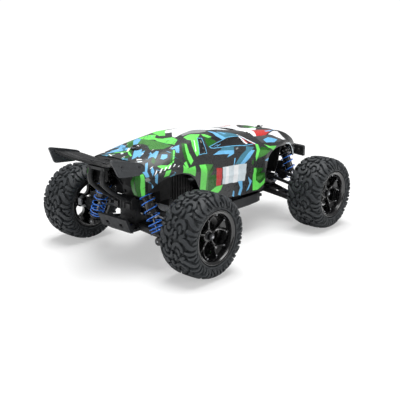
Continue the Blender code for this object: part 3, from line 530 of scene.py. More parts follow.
# Sections at even steps along x, each resampled at even steps of girth.
SECTION_STEP = 0.5
SECTION_N = 240
SECTION_X = np.arange(TAIL_X, NOSE_X + 0.01, SECTION_STEP)
SECTION_GIRTH = np.zeros(len(SECTION_X))
SECTIONS = np.zeros((len(SECTION_X), SECTION_N, 2))
SECTION_EDGE = np.zeros(len(SECTION_X))     # girth at the lower edge


def sample_sections():
    for i, x in enumerate(SECTION_X):
        line = rounded(section_corners(x), CORNER_RADII)
        lengths = np.linalg.norm(np.diff(line, axis=0), axis=1)
        travelled = np.concatenate([[0], np.cumsum(lengths)])
        even = np.linspace(0, travelled[-1], SECTION_N)
        SECTION_GIRTH[i] = travelled[-1]
        for k in (0, 1):
            SECTIONS[i, :, k] = np.interp(even, travelled, line[:, k])
        SECTION_EDGE[i] = np.interp(-float(curve(SILL_Z, x)), -SECTIONS[i, :, 1], even)


sample_sections()


def shell_point(x, girth):
    """Point on the outer skin: x along the truck, girth in mm away from the
    middle of the roof (positive on the right-hand side of the truck)."""
    x, girth = np.broadcast_arrays(np.asarray(x, float), np.asarray(girth, float))
    sign = np.sign(girth) + (girth == 0)
    place = np.clip((x - TAIL_X) / SECTION_STEP, 0, len(SECTION_X) - 1.001)
    index = place.astype(int)
    blend = (place - index)[..., None]
    ends = []
    for row in (index, index + 1):
        spot = np.clip(np.abs(girth) / SECTION_GIRTH[row], 0, 1) * (SECTION_N - 1)
        column = np.minimum(spot.astype(int), SECTION_N - 2)
        part = (spot - column)[..., None]
        ends.append(SECTIONS[row, column] * (1 - part) + SECTIONS[row, column + 1] * part)
    section = ends[0] * (1 - blend) + ends[1] * blend
    return np.stack([x, -sign * section[..., 0], section[..., 1]], -1)


def edge_girth(x):
    """Girth at the lower edge of the shell."""
    return np.interp(x, SECTION_X, SECTION_EDGE)


def tail_x(share):
    """Where the cut-back tail ends, by share of the girth."""
    return np.interp(share, [0.0, 0.42, 0.60, 0.78, 0.92, 1.0],
                     [-111.4, -111.6, -114.8, -117.8, -116.6, -115.0])


def sheet_point(along, across):
    """x and girth at shares of the way from tail to nose and from roof to edge."""
    tail = tail_x(abs(across))
    x = tail + (NOSE_X - tail) * along
    return x, across * float(edge_girth(x))


# ---------------------------------------------------------------- paint shapes
def paint_shapes(text):
    rows = (line.split(maxsplit=1) for line in text.strip().splitlines())
    return [(colour, points(corners)) for colour, corners in rows]


def strokes():
    """Short tapered strokes spread evenly over the tail, the same each time."""
    out = []
    tints = ("black", "black", "sky", "black", "white", "black", "dark", "black", "teal")
    for k in range(58):
        # multiples of irrational steps spread the middles evenly
        x = -109.0 + 60.0 * ((k * 0.618034) % 1.0)
        girth = 1.5 + 50.0 * ((k * 0.754878 + 0.3) % 1.0)
        angle = (0.5, -0.42, 1.15)[k % 3] + 0.3 * math.sin(k * 2.1)
        length = 1.6 + 2.4 * ((k * 0.37) % 1.0)
        width = 0.28 + 0.34 * ((k * 0.53) % 1.0)
        cos, sin = math.cos(angle), math.sin(angle)
        out.append((tints[k % 9], [(x - cos * length, girth - sin * length),
                                   (x - sin * width, girth + cos * width),
                                   (x + cos * length, girth + sin * length),
                                   (x + sin * width * 0.7, girth - cos * width * 0.7)]))
    return out


# Colour, then corners of x,girth (girth positive on the right); later shapes lie
# over earlier ones. The right half is mirrored to the left, and shapes that reach
# over the middle are painted there as drawn.
# The white shape over the roof and bonnet (white -39,1 ...), the grey band along its right edge
# (grey -39,12 ...) and the small white shape on top of the nose (white 116,0 ...) are a painted
# reflection of the lamp above on the glossy top.
LIVERY = paint_shapes("""
dark 76,0 98,0 106,8 92,12 79,7
bright 82,0 103,0 111,6 99,8.5 90,4
sky 104,12 118,6.5 125,10 116,17.5 107,17
teal 112,16.5 124,11 127,17 118,23
white 116,0 131,0 135,5 126,4.5 119,3
black 127.5,9.5 139.5,7 141,18 135.5,25 128,21
silver 130.5,12 137.5,9.5 139,16 134.5,21.5 130.5,18.5
grey 132,13 136.5,11.5 137.5,15.5 134,18.5 132,16.5
white -39,1 -19,-12 1,-22 61,-9 77,14 64,23 48,26 48,19 43,14 -3,12 -22,12 -39,12 -47,13 -47,9.5
grey -39,12 -18,8.5 -2,11 -7,16 -18,17 -28,15 -40,16.5
bright -42,-24 -35,-22.5 -25,-22 -48,1 -51,-4 -46,-15.5
dark -67,-15 -55,-22 -52,-19.5 -59,-5
bright -59,-4.5 -56,5 -48,10 -50,19 -60,24.5 -63,17 -63,5.5
muted -66,-12 -63,-2 -64,14 -63,24 -74,24 -82,15 -75,5 -74,-5
sky -69,-20.5 -61,-23.5 -63,-16 -76,-7.5 -79,-10
sky -94,-15 -81,-24 -83,-16 -92,-8 -95,-12
sky -107,18 -90,3 -88,6 -84,7 -93,15 -103,18
sky -98,16 -89,12 -85,12 -92,17 -100,20
sky -96,27 -85,19 -88,24 -81,22 -80,24.5 -90,31 -91,27
sky -86,33 -81,29.5 -76,32 -79,35 -84,35
sky -68,27.5 -62,27 -56,27 -63,35 -66,34 -64,29.5 -67,29
dark -89,-6 -80,-10 -100,10 -98,5
dark -110,7 -101,7 -104,12 -111,10
white -95,-2 -80,-13 -78,-12 -93,-1
dark -96,31.5 -90,28 -90,30.5 -95,35
dark -81,41.5 -70,30.5 -66,30 -77,42
bright -78,42 -67,30 -65,31 -76,42
dark -52,26 -49,28.5 -54,38 -54,46 -60,49 -61,41.5 -58,34
bright -50,28 -48,29 -52,38.5 -52,47 -58,50 -58,44 -55,36
bright -42,19 -30,17 -21,21 -31,27 -40,27 -43,24.5
bright -38,24 -30,26 -36,36 -40,43 -45,44.5 -45,39 -43,32
white -37,28 -36,28 -42,39 -44,40
skyline -31,26 -25,27.5 -30,44.5 -41,44
black -30.7,26.9 -26.1,28.1 -30.6,43.9 -40.1,43.5
glass -30,28 -28,29 -32,43.5 -39,43
dark -21,27.5 -16,29 -9,34 -24,39 -24,32.5
bright -20,21 -16,23 -11,29 -17,28.5 -21,25.5
black -10,16 -5,20.5 1,33.5 -9,33.5 -15,28.5 -9,28.5
sky -4,15 0,18 2,26 6,29 9,32 1,33.5 -5,28
teal 3,21 17,24 28,29 14,31 7,32 1,26.5
skyline -23,38 -4,34 9,31 27,30 47,41 28,42.5 -18,41 -22,40
black -21.2,38.3 -3.8,34.6 9.2,31.7 26.6,30.8 44,40.6 27.6,41.6 -17.6,40.2 -20.8,39.4
glass -18,38 -3,35 10,33 24,32 35,39 27,40 -2,40 -16,39
red 29,32.5 32,33.5 35,39 31,39
white 26,31 28,31 34,40 31,40.5
teal -5,41 11,42.5 9,46 -11,44
sky -23,47 -12,44 9,46 7,49.5 1,51 -5,52 0,49 -10,48
grey 13,44 17,43.5 16,45 12,46
teal 29,43 41,44.5 35,48 29,50 10,61 3,60 16,52 27,47
sky 35,47.5 40,48 28,55.5 17,61 10,61 29,50
sky 0,61 5,54 7,54 1,61
red -25,60 -17,61 -18,78 -26,77
silver -16,60.5 21,61 19,78.5 -16,77.5
white -11,61 -7,61 -7,78 -12,78
white 1,61 8,61.5 7,78.5 0,78.5
bright -47,52.5 -38,54 -40,79 -48,77
muted -38,54 -28,56 -36,62 -37,80 -40,79
dark -37,63.5 -28,58 -34,65.5 -26,66 -25,78 -31,81 -37,80
bright -33,81 -25,78 -15,78 -18,82.5 -23,85.5
bright -67,47 -64,52 -53,52 -55,61.5 -62,57 -71,54
bright -65,46 -61,45 -62,51.5 -65,52
sky -102,30.5 -99,30.5 -105,38 -105,43 -108,42 -109,36 -107,37
sky -100,43.5 -97,44 -98,53 -100,50.5
sky -103,50 -101,54.5 -102,56.5 -103,53.5
bright -94,38 -90,39 -84,42 -76,41 -84,45.5 -91,43
bright -92,50 -89,46 -83,47 -87,51
white -91,53 -87,53 -82,56.5 -87,57.5
teal -86,52 -80,51 -81,55 -84,55
sky -102,39 -98,36 -99,41 -102,44
grey -109,42.5 -106,43 -104,46 -106,47.5 -108,46
bright 45,41 49,42 48,48 42,54 36,60 37,54.5 43,48
muted 48,48 65,51.5 54,54.5 40,57
dark 52,45 61,48 65,51 48,48
bright 58,43 65,47 77,47.5 70,52 62,48
sky 52,60.5 56,59 63,58.5 62,62
bright 33,66.5 37,66.5 38,79.5 45,84 55,79 55,84 42,90 33,90 32,77
dark 37,66.5 50,68 44,73 53,73 55,79 42,82.5 38,79
muted 39,76 51,75 49,78.5 40,81
dark 29,62 31,58 33,58 32,63
sky 8,78 15,78 16,86 13,93 9,92 12,85
sky 24,74.5 31,80 26,88 22,90 27,82
sky 0,92 1,86.5 3,87 3,93
red 64,17.5 94,23 68,34 55,32
white 70,9 64,17.5 55,32 51,32 50,27
smoke 54,32 81,33.5 106,32 85,43.5 56,41 53,36
sky 61,38 71,36 84,40 75,43.5 63,42
white 90,27 99,29 106,34 81,33.5 75,32
dark -118,34.5 -112,37 -113,56.5 -116,54
bright -112,37 -109,38 -109,49 -109,59 -112,57 -113,48
teal -117,11 -111,9 -107,13 -111,17.5
sky -114,10.5 -107,9 -116,15
teal -87,-15 -86,-12.5 -93,-6 -95,-7
white -104,21 -101,24 -101,25 -106,23
silver -107,24.5 -103,26 -103,27.5 -107,26
white -107,-13 -106,-11.5 -109,-5 -110,-6
silver -100,-4.5 -97,-4.5 -100,0 -103,0
bright -93,-2 -94,0.5 -100,11 -102,11 -98,3.5
dark -83,-13.5 -77,-18.5 -72,-18 -80,-10 -88,-6
white -101,44.5 -99,44.5 -96,41.5 -97,41
white -96,44.5 -94,45 -90,42 -92,42
white -91,45 -89,45 -85,43 -87,42.5
white -86,45.5 -84,45.5 -80,43 -82,43
white -80,45.5 -78,45.5 -75,44 -76,43.5
silver 103,41 116,36 127,36.5 136,38 125,45 113,44.5
black 96,28 114,25.5 114,34.5 104,37 99,33
sky 77,25 88,23.5 89,26.5 77,27
black 43,27 53,20 47,28 43,30
white 81,33.5 96,31.5 104,37 94,40 86,37
sky 4,20 6,21 12,27 8,27
white 26,28 27,28 40,37 46,41 44,41 37,37
red 36,38 38,38 46,42 44,42
skyline -17,39 -9,37 -8,37 -15,39
skyline -13,39 -5,37 -4,37 -11,39.5
""") + strokes() + paint_shapes(
    "glass 31,-10 31,10 34,15.5 45.5,12.5 48,6 48,-6 45.5,-12.5 34,-15.5")

PANES = [corners for colour, corners in LIVERY if colour == "glass"]
PANE_EDGE = 0.9                             # width of the step down to a pane
SHUT_LINES = [((-27.5, 46.0), (-27.5, 78.0)), ((32.5, 45.0), (27.0, 78.0)),
              ((58.0, 33.0), (132.0, 26.0))]
SHUT_HALF_W = 0.5
# Long ridges: height, girth, width, where they start and how long they take to
# rise, where they end and how long they take to fall.
RIDGES = [
    (1.1, 12.5, 2.6, 58, 14, 136, 16),      # bonnet ridges
    (-0.5, 0.0, 6.0, 58, 14, 136, 16),      # hollow along the bonnet
    (0.8, 9.0, 2.2, -44, 10, 20, 10),       # roof ridges
    (0.7, 70.0, 1.8, -42, 8, 46, 8),        # swage above the sill
    (2.0, 27.0, 4.5, 84, 16, 139, 12),      # fender tops
]


def sides_of(poly):
    return zip(poly, poly[1:] + poly[:1])


def inside(poly, x, y):
    """Even-odd test of points."""
    hit = np.zeros(x.shape, bool)
    for (x0, y0), (x1, y1) in sides_of(poly):
        if y0 != y1:
            hit ^= ((y0 > y) != (y1 > y)) & (x < (x1 - x0) * (y - y0) / (y1 - y0) + x0)
    return hit


def distance_to(start, end, x, y):
    """Distance of points to a straight stretch."""
    (x0, y0), (x1, y1) = start, end
    run, rise = x1 - x0, y1 - y0
    t = np.clip(((x - x0) * run + (y - y0) * rise) / max(run * run + rise * rise, 1e-9), 0, 1)
    return np.hypot(x - x0 - t * run, y - y0 - t * rise)


def depth_inside(poly, x, y):
    """Distance of points to a polygon's outline, 0 for points outside it."""
    nearest = np.full(x.shape, 1e9)
    for start, end in sides_of(poly):
        nearest = np.minimum(nearest, distance_to(start, end, x, y))
    return np.where(inside(poly, x, y), nearest, 0.0)


def inset(poly, distance):
    """Polygon moved inward at every corner."""
    area = sum(x0 * y1 - x1 * y0 for (x0, y0), (x1, y1) in sides_of(poly))
    turn = 1.0 if area > 0 else -1.0
    out = []
    for i in range(len(poly)):
        before, corner, after = (np.array(poly[(i + k) % len(poly)], float) for k in (-1, 0, 1))
        normals = []
        for side in (corner - before, after - corner):
            side = side / (np.linalg.norm(side) + 1e-9)
            normals.append(np.array([-side[1], side[0]]) * turn)
        mitre = normals[0] + normals[1]
        mitre = mitre / max(np.dot(mitre, normals[0]), 0.35)
        out.append(tuple(corner + mitre * distance))
    return out


def shell_offset(x, girth):
    """Height of the surface detail over the plain skin."""
    girth = np.abs(girth)
    height = np.zeros(np.shape(x))
    for pane in PANES:
        t = np.clip(depth_inside(pane, x, girth) / PANE_EDGE, 0, 1)
        height -= 0.75 * t * t * (3 - 2 * t)
    for rise, middle, width, start, run_in, end, run_out in RIDGES:
        fade = np.clip((x - start) / run_in, 0, 1) * np.clip((end - x) / run_out, 0, 1)
        height += rise * fade * np.exp(-((girth - middle) / width) ** 2)
    for start, end in SHUT_LINES:
        near = distance_to(start, end, x, girth)
        height -= 0.45 * np.clip(1 - near / SHUT_HALF_W, 0, 1)
    return height


def unit(vectors):
    return vectors / (np.linalg.norm(vectors, axis=-1, keepdims=True) + 1e-12)


def skin(x, girth):
    """Finished outer skin points and their outward normals."""
    reach = 0.3                             # half the distance slopes are measured over
    step_x = shell_point(x + reach, girth) - shell_point(x - reach, girth)
    step_girth = shell_point(x, girth + reach) - shell_point(x, girth - reach)
    plain = unit(np.cross(step_girth, step_x))
    base = shell_point(x, girth)
    from_core = base * (0, 1, 1) - (0, 0, 60.0)   # away from a line inside the shell
    plain = plain * np.where((from_core * plain).sum(-1, keepdims=True) < 0, -1.0, 1.0)
    slope_x = (shell_offset(x + reach, girth) - shell_offset(x - reach, girth)) / (2 * reach)
    slope_girth = (shell_offset(x, girth + reach) - shell_offset(x, girth - reach)) / (2 * reach)
    normal = plain - unit(step_x) * slope_x[..., None] - unit(step_girth) * slope_girth[..., None]
    return base + plain * shell_offset(x, girth)[..., None], unit(normal)


# ---------------------------------------------------------------- shell meshes
def near_faces(faces, start, end):
    """Faces whose box comes near the box around two points."""
    margin = 0.01
    spans = [(min(a, b) - margin, max(a, b) + margin) for a, b in zip(start, end)]
    out = []
    for face in faces:
        for axis, (low, high) in enumerate(spans):
            values = [vert.co[axis] for vert in face.verts]
            if min(values) > high or max(values) < low:
                break
        else:
            out.append(face)
    return out


def cut_outline(sheet, poly):
    """Adds edges to the flat mesh along every side of a polygon."""
    low, high = (tuple(pick(axis) for axis in zip(*poly)) for pick in (min, max))
    around = near_faces(sheet.faces, low, high)
    for start, end in sides_of(poly):
        start, end = Vector((*start, 0)), Vector((*end, 0))
        if (end - start).length < 1e-6:
            continue
        faces = near_faces(around, start.xy, end.xy)
        if not faces:
            continue
        normal = Vector((end.y - start.y, start.x - end.x, 0)).normalized()
        geom = set(faces)
        for face in faces:
            geom.update(face.edges)
            geom.update(face.verts)
        cut = bmesh.ops.bisect_plane(sheet, geom=list(geom), dist=0.04,
                                     plane_co=start, plane_no=normal)
        known = {face for face in around if face.is_valid}
        known.update(item for item in cut["geom"]
                     if isinstance(item, bmesh.types.BMFace) and item.is_valid)
        around = list(known)


def flat_half(shapes):
    """One half of the skin as a flat sheet cut along the paint shapes: points,
    faces and the paint number of each face."""
    rows, columns = 132, 44
    sheet = bmesh.new()
    grid = [[sheet.verts.new((*sheet_point(along, across), 0))
             for across in np.linspace(0, 1, columns + 1)]
            for along in np.linspace(0, 1, rows + 1)]
    for i in range(rows):
        for j in range(columns):
            sheet.faces.new((grid[i][j], grid[i + 1][j], grid[i + 1][j + 1], grid[i][j + 1]))
    for colour, poly in shapes:
        cut_outline(sheet, poly)
        if colour == "glass":
            cut_outline(sheet, inset(poly, PANE_EDGE))
    for (x0, y0), (x1, y1) in SHUT_LINES:
        length = math.hypot(x1 - x0, y1 - y0)
        along_x, along_y = (x1 - x0) / length, (y1 - y0) / length
        for shift in (-SHUT_HALF_W, 0.0, SHUT_HALF_W):
            cut_outline(sheet, [(x0 - along_y * shift, y0 + along_x * shift),
                                (x1 - along_y * shift, y1 + along_x * shift)])
    bmesh.ops.triangulate(sheet, faces=[face for face in sheet.faces if len(face.verts) > 4])
    sheet.verts.index_update()
    flat = np.array([(vert.co.x, vert.co.y) for vert in sheet.verts])
    faces = [tuple(vert.index for vert in face.verts) for face in sheet.faces]
    x, y = np.array([face.calc_center_median()[:2] for face in sheet.faces]).T
    paints = np.full(len(faces), PAINT_NAMES.index("carbon"))
    for colour, poly in shapes:
        paints[inside(poly, x, y)] = PAINT_NAMES.index(colour)
    sheet.free()
    return flat, faces, paints


def facing(faces, verts, normals):
    """The faces, all reversed if they look against the normals."""
    first, second, third = (verts[[face[k] for face in faces]] for k in range(3))
    turn = np.cross(second - first, third - first)
    if (turn * normals[[face[0] for face in faces]]).sum() < 0:
        return [tuple(reversed(face)) for face in faces]
    return faces


def painted_skin():
    """The outer skin and the rim along its open edge."""
    left_shapes = []
    for colour, poly in LIVERY:
        left_shapes.append((colour, poly))
        if min(girth for _, girth in poly) < 0:
            left_shapes.append((colour, [(x, -girth) for x, girth in poly]))
    right, right_faces, right_paints = flat_half(LIVERY)
    left, left_faces, left_paints = flat_half(left_shapes)
    flat = np.vstack([right, left * np.array([1, -1])])
    verts, normals = skin(flat[:, 0], flat[:, 1])
    faces = right_faces + [tuple(i + len(right) for i in reversed(face)) for face in left_faces]
    faces = facing(faces, verts, normals)
    outer = mesh_object("shell_skin", verts, faces, ["paint_" + name for name in PAINT],
                        np.concatenate([right_paints, left_paints]), sharp=None,
                        recalculate=False)
    # faces dropped as faulty would put the normals out of step
    if len(outer.data.polygons) == len(faces):
        outer.data.normals_split_custom_set_from_vertices([tuple(n) for n in normals])

    uses = {}
    for face in faces:
        for edge in zip(face, face[1:] + face[:1]):
            uses.setdefault(tuple(sorted(edge)), []).append(edge)
    rim_verts, rim_faces, known = [], [], {}

    def put(i, depth):
        if (i, depth) not in known:
            known[(i, depth)] = len(rim_verts)
            rim_verts.append(tuple(verts[i] - normals[i] * depth))
        return known[(i, depth)]
    for edges in uses.values():
        i, j = edges[0]
        on_seam = abs(flat[i, 1]) <= 1e-4 and abs(flat[j, 1]) <= 1e-4
        if len(edges) == 1 and verts[i][0] < NOSE_X - 0.2 and not on_seam:
            rim_faces.append((put(j, 0.0), put(i, 0.0), put(i, 1.0), put(j, 1.0)))
    rim = mesh_object("shell_rim", rim_verts, rim_faces, ["paint_black"], recalculate=False)
    return outer, rim


def backing_skin():
    """Plain skin 1 mm inside the painted one."""
    rows, columns = 91, 53
    flat = np.array([sheet_point(along, across) for along in np.linspace(0, 1, rows)
                     for across in np.linspace(-1, 1, columns)])
    verts, normals = skin(flat[:, 0], flat[:, 1])
    verts = verts - normals * 1.0
    faces = facing(lattice(rows, columns, closed=False), verts, -normals)
    return mesh_object("shell_backing", verts, faces, ["shell_backing"], sharp=None,
                       recalculate=False)


def nose_panel():
    """The front end closed by a slightly domed panel with a grille."""
    count = 61
    edge = float(edge_girth(NOSE_X))
    ring, _ = skin(np.full(count, NOSE_X), np.linspace(-1, 1, count) * edge)
    centre = np.array([NOSE_X, 0.0, (ring[:, 2].max() + ring[:, 2].min()) / 2])
    loops = [ring]
    dome = points("0.985,0.5 0.95,1 0.88,1.3 0.6,1.5 0.3,1.55")     # size, distance forward
    for size, out in dome:
        loop = centre + (ring - centre) * size
        loop[:, 0] = NOSE_X + out
        loops.append(loop)
    verts = [tuple(point) for loop in loops for point in loop]
    verts.append((NOSE_X + 1.55, 0, centre[2]))
    last = (len(loops) - 1) * count
    faces = lattice(len(loops), count)
    faces += [(last + j, last + (j + 1) % count, len(verts) - 1) for j in range(count)]
    nose = Pieces()
    nose.add((verts, faces))
    for z in (65.0, 67.2, 69.4, 71.6):                      # grille bars
        width = 8.5 + (71.6 - z) * 0.6
        nose.add(block((NOSE_X + 0.6, NOSE_X + 2.2), (-width, width), (z - 0.45, z + 0.45)), 1)
    for side in (1, -1):                                    # silver panels beside them
        outline = on_side(side, points("10.5,72.5 15.5,69 16,66 11.5,68"))
        nose.add(prism(outline, "X", NOSE_X + 0.4, NOSE_X + 2.0), 2)
    return mesh_object("shell_nose", nose.verts, nose.faces,
                       ["paint_black", "chassis_black", "paint_silver"], nose.mats, sharp=50)


def build_shell():
    outer, rim = painted_skin()
    for obj in (outer, rim, backing_skin(), nose_panel()):
        register(obj, "chassis")
    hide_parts("body_shell")


build_shell()


# ================================================================ carried-over solids
# Material, then the solids that wear it.
SOLID_LOOKS = {
    "tray_black": "chassis_tray",
    "chassis_black": "front_gearbox rear_gearbox front_shock_tower rear_shock_tower "
                     "front_bumper steering_rack servo_horn",
    "bumper_grey": "rear_bumper",
    "wing_mount_black": "wing_mount",
    "arm_black": "left_tie_rod right_tie_rod",
    "battery_wrap": "battery_pack",
    "servo_case": "control_unit steering_servo",
    "motor_can": "drive_motor",
    "wing_black": "rear_wing",
    "steel": "centre_driveshaft front_differential rear_differential",
    "brass_bush": "motor_pinion",
    "shell_backing": "body_shell",
}
# The same for the solids found at the corners of the truck.
CORNER_LOOKS = {
    "arm_black": "lower_arm upper_link hub_carrier knuckle",
    "steel": "dogbone",
    "shock_black": "shock_body",
    "piston_dark_chrome": "shock_shaft",
    "spring_blue": "spring",
    "rim_gloss_black": "rim",
    "tyre_rubber": "tyre",
}
# Solids in these materials get rounded edges.
ROUNDED_LOOKS = {"tray_black", "chassis_black", "bumper_grey", "wing_mount_black", "arm_black"}


def dress_solids():
    looks = {name: mat for mat, names in SOLID_LOOKS.items() for name in names.split()}
    looks.update({f"{corner[0]}_{part}": mat for corner in CORNERS
                  for mat, parts in CORNER_LOOKS.items() for part in parts.split()})
    for name, obj in SOLIDS.items():
        mesh = obj.data
        mesh.materials.clear()
        mesh.materials.append(MATERIALS[looks[name]])
        if looks[name] in ROUNDED_LOOKS:
            bevel(obj, width=0.35, segments=2, angle=32.0)
        for poly in mesh.polygons:
            poly.use_smooth = True
        mesh.set_sharp_from_angle(angle=math.radians(35))


dress_solids()


# ================================================================ wheels
# Wheels are drawn around the Y axis with their outer face towards +Y.
# Outer tyre surface as (radius, distance from the tyre's middle), tread to bead.
CROWN = points("""37.5,0 37.45,4.5 37.2,9 36.3,13.2 34.6,16.6 32,19 29,19.4 26.6,18.7
    24.9,17.7""")
CROWN_R, CROWN_W = zip(*CROWN)
CROWN_RUN = [0.0]
for (_r0, _w0), (_r1, _w1) in zip(CROWN, CROWN[1:]):
    CROWN_RUN.append(CROWN_RUN[-1] + math.hypot(_r1 - _r0, _w1 - _w0))
PITCHES = 12
PITCH = 2 * math.pi * TYRE_R / PITCHES
STRETCH = PITCH / 16.8                      # the figures are drawn for a pitch of 16.8
# Raised tread figures, repeated round the tyre: centre lines of (distance from the
# middle over the surface, run round the tyre, half width).
FIGURES = [points(path) for path in (
    # large hook from the tread over the shoulder
    "7.4,-4.6,1.3 10.4,-5.2,1.8 13.6,-3.6,2 16.6,-1,2 19.6,0.6,1.8 22.8,0.4,1.4 25.6,-1.2,0.8",
    # curved bars on the shoulder between two hooks
    "12.6,4,1.1 15.8,5,1.6 19.2,5.4,1.5 22.2,4.6,1.1 24.6,3,0.8",
    "15,8.8,0.9 17.8,9.4,1.3 21.2,9.2,1.1 24.2,7.8,0.7",
    # horseshoe on the crown
    "0.6,3.4,1.2 1.4,0.4,1.5 4.2,-1.4,1.5 7.4,-0.8,1.6 9.8,1.4,1.5 10.2,4.2,1.2",
    # short pieces on the crown
    "4.2,3.8,1 6,3.2,1.5 7,5.4,1.3 6.4,7.6,1",
    "1.2,8.4,1.1 2.6,7.2,1.3 3,10,1.3 1.6,12,1",
    "6.6,10.8,1 9.4,9.2,1.6 12,8,1.3",
    # thin figures on the wall
    "20.4,-3.6,0.6 23.2,-4,0.8 25.6,-5.2,0.5",
    "22,12,0.5 24.4,11.4,0.6 26.6,10,0.4",
    "23.2,10.4,0.4 25,9.6,0.5 26.8,8,0.35",
    "25,2.4,0.4 26,1,0.5 26.9,-1,0.35",
)]


def crown_point(run):
    """Radius, width and the outward direction on the tyre surface."""
    radius, width = (np.interp(run, CROWN_RUN, values) for values in (CROWN_R, CROWN_W))
    step_r, step_w = (np.interp(run + 0.8, CROWN_RUN, values)
                      - np.interp(run - 0.8, CROWN_RUN, values) for values in (CROWN_R, CROWN_W))
    length = np.hypot(step_r, step_w) + 1e-9
    return radius, width, step_w / length, -step_r / length


def tread_depth(run):
    return np.interp(run, [0, 8, 14, 20, 25, 28], [2.3, 2.6, 3.0, 2.0, 1.0, 0.5])


def on_tyre(across, around, down):
    """Points at a signed width, a run around the tyre and a depth below its surface."""
    radius, width, out_r, out_w = crown_point(np.abs(across))
    radius = radius - out_r * down
    width = (width - out_w * down) * np.where(across < 0, -1.0, 1.0)
    angle = around / TYRE_R
    return np.stack([radius * np.sin(angle), width, radius * np.cos(angle)], -1)


# Cross-section of a raised figure: share of the half width, depth below the top.
# None reaches below the groove floor.
FIGURE_SECTION = [(-1.12, None), (-1.0, 0.55), (-0.80, 0.0), (0.0, 0.0), (0.80, 0.0),
                  (1.0, 0.55), (1.12, None)]


def tread_figure(path, shift, sign):
    line = np.array(spline(path, 3 if FINE else 2))
    count, width = len(line), len(FIGURE_SECTION)
    across, around = line[:, 0].astype(float), line[:, 1].astype(float) * STRETCH
    half_width = np.maximum(line[:, 2].astype(float) * 1.08, 0.3)
    step_across, step_around = np.gradient(across), np.gradient(around)
    length = np.hypot(step_across, step_around) + 1e-9
    side_across, side_around = -step_around / length, step_across / length
    top = np.zeros(count)
    top[0] = top[-1] = 0.45                 # the ends slope down
    columns = []
    for share, depth in FIGURE_SECTION:
        down = tread_depth(across) + 0.5 if depth is None else top + depth
        place = np.maximum(across + side_across * half_width * share, 0.02)
        run = around + side_around * half_width * share
        columns.append(on_tyre(sign * place, sign * run + shift, down))
    verts = np.stack(columns, 1).reshape(-1, 3)
    return verts, lattice(count, width, closed=False) + end_caps(count, width)


def tyre_pieces():
    """Grooved carcass plus raised figures."""
    tyre = Pieces()
    half = []
    for run in [*np.linspace(0, 22, 12), 24.0, 25.6, 26.8]:
        radius, width, out_r, out_w = crown_point(run)
        depth = float(tread_depth(run)) + 0.15 * math.sin(run * 1.7)
        half.append((float(radius - out_r * depth), float(width - out_w * depth)))
    # bead ridge, rubbing ring and the inside
    half += points("""25.7,18.1 25.1,18 24.75,17.4 24.55,15.2 22.9,14.6 22.9,12 27,15.6
        32.5,15.4 34,9 34.2,0""")
    profile = half + [(radius, -width) for radius, width in reversed(half)][1:-1]
    tyre.add(turned(profile, 108 if FINE else 72, ring=True))
    for k in range(PITCHES):
        for sign, offset in ((1.0, 0.0), (-1.0, PITCH * 0.5)):
            for path in FIGURES:
                tyre.add(tread_figure(path, k * PITCH + offset, sign))
    return tyre


RIM_Y = 16.8                                # half width of the rim
SPOKES = 5
FORK_SPREAD = 0.32                          # half angle between the ends of a fork
# Half a forked spoke: radius, y, angle from the spoke's middle, half width.
SPOKE_LINE = points("""5.2,7.4,0,1.7 9,6.9,0,1.35 12.2,7,0.035,1.2 15.2,7.8,0.13,1.05
    18.2,9.4,0.25,1.1 20.9,11.6,0.32,1.5""")
# Cross-section of a spoke: share of the half width, y.
SPOKE_SECTION = points("-1,-3 -1,0.2 -0.62,1 0,0.62 0.62,1 1,0.2 1,-3")
# Sunk web that fills the fork: radius, y, half angle.
SPOKE_WEB = points("9.5,6.6,0.05 13,6.7,0.075 16.5,7.8,0.16 19.5,9.6,0.26 21,11,0.31")


def spoke_angle(k):
    return math.pi / 2 + 2 * math.pi * k / SPOKES


def half_spoke(middle, branch):
    line = spline([(radius, y, turn * branch) for radius, y, turn, _ in SPOKE_LINE], 3)
    widths = np.interp(np.linspace(0, 1, len(line)), np.linspace(0, 1, len(SPOKE_LINE)),
                       [station[3] for station in SPOKE_LINE])
    verts = []
    for (radius, y, turn), width in zip(line, widths):
        angle = middle + turn
        centre = np.array([radius * math.cos(angle), y, radius * math.sin(angle)])
        tangent = np.array([-math.sin(angle), 0.0, math.cos(angle)])
        for share, lift in SPOKE_SECTION:
            verts.append(tuple(centre + tangent * share * width + np.array([0, lift, 0])))
    size = len(line), len(SPOKE_SECTION)
    return verts, lattice(*size) + end_caps(*size)


def spoke_web(middle):
    verts = []
    for radius, y, half in SPOKE_WEB:
        for angle, lift in ((middle - half, -2.4), (middle - half, -0.6),
                            (middle + half, -0.6), (middle + half, -2.4)):
            verts.append((radius * math.cos(angle), y + lift, radius * math.sin(angle)))
    return verts, lattice(5, 4) + [(0, 1, 2, 3), (19, 18, 17, 16)]


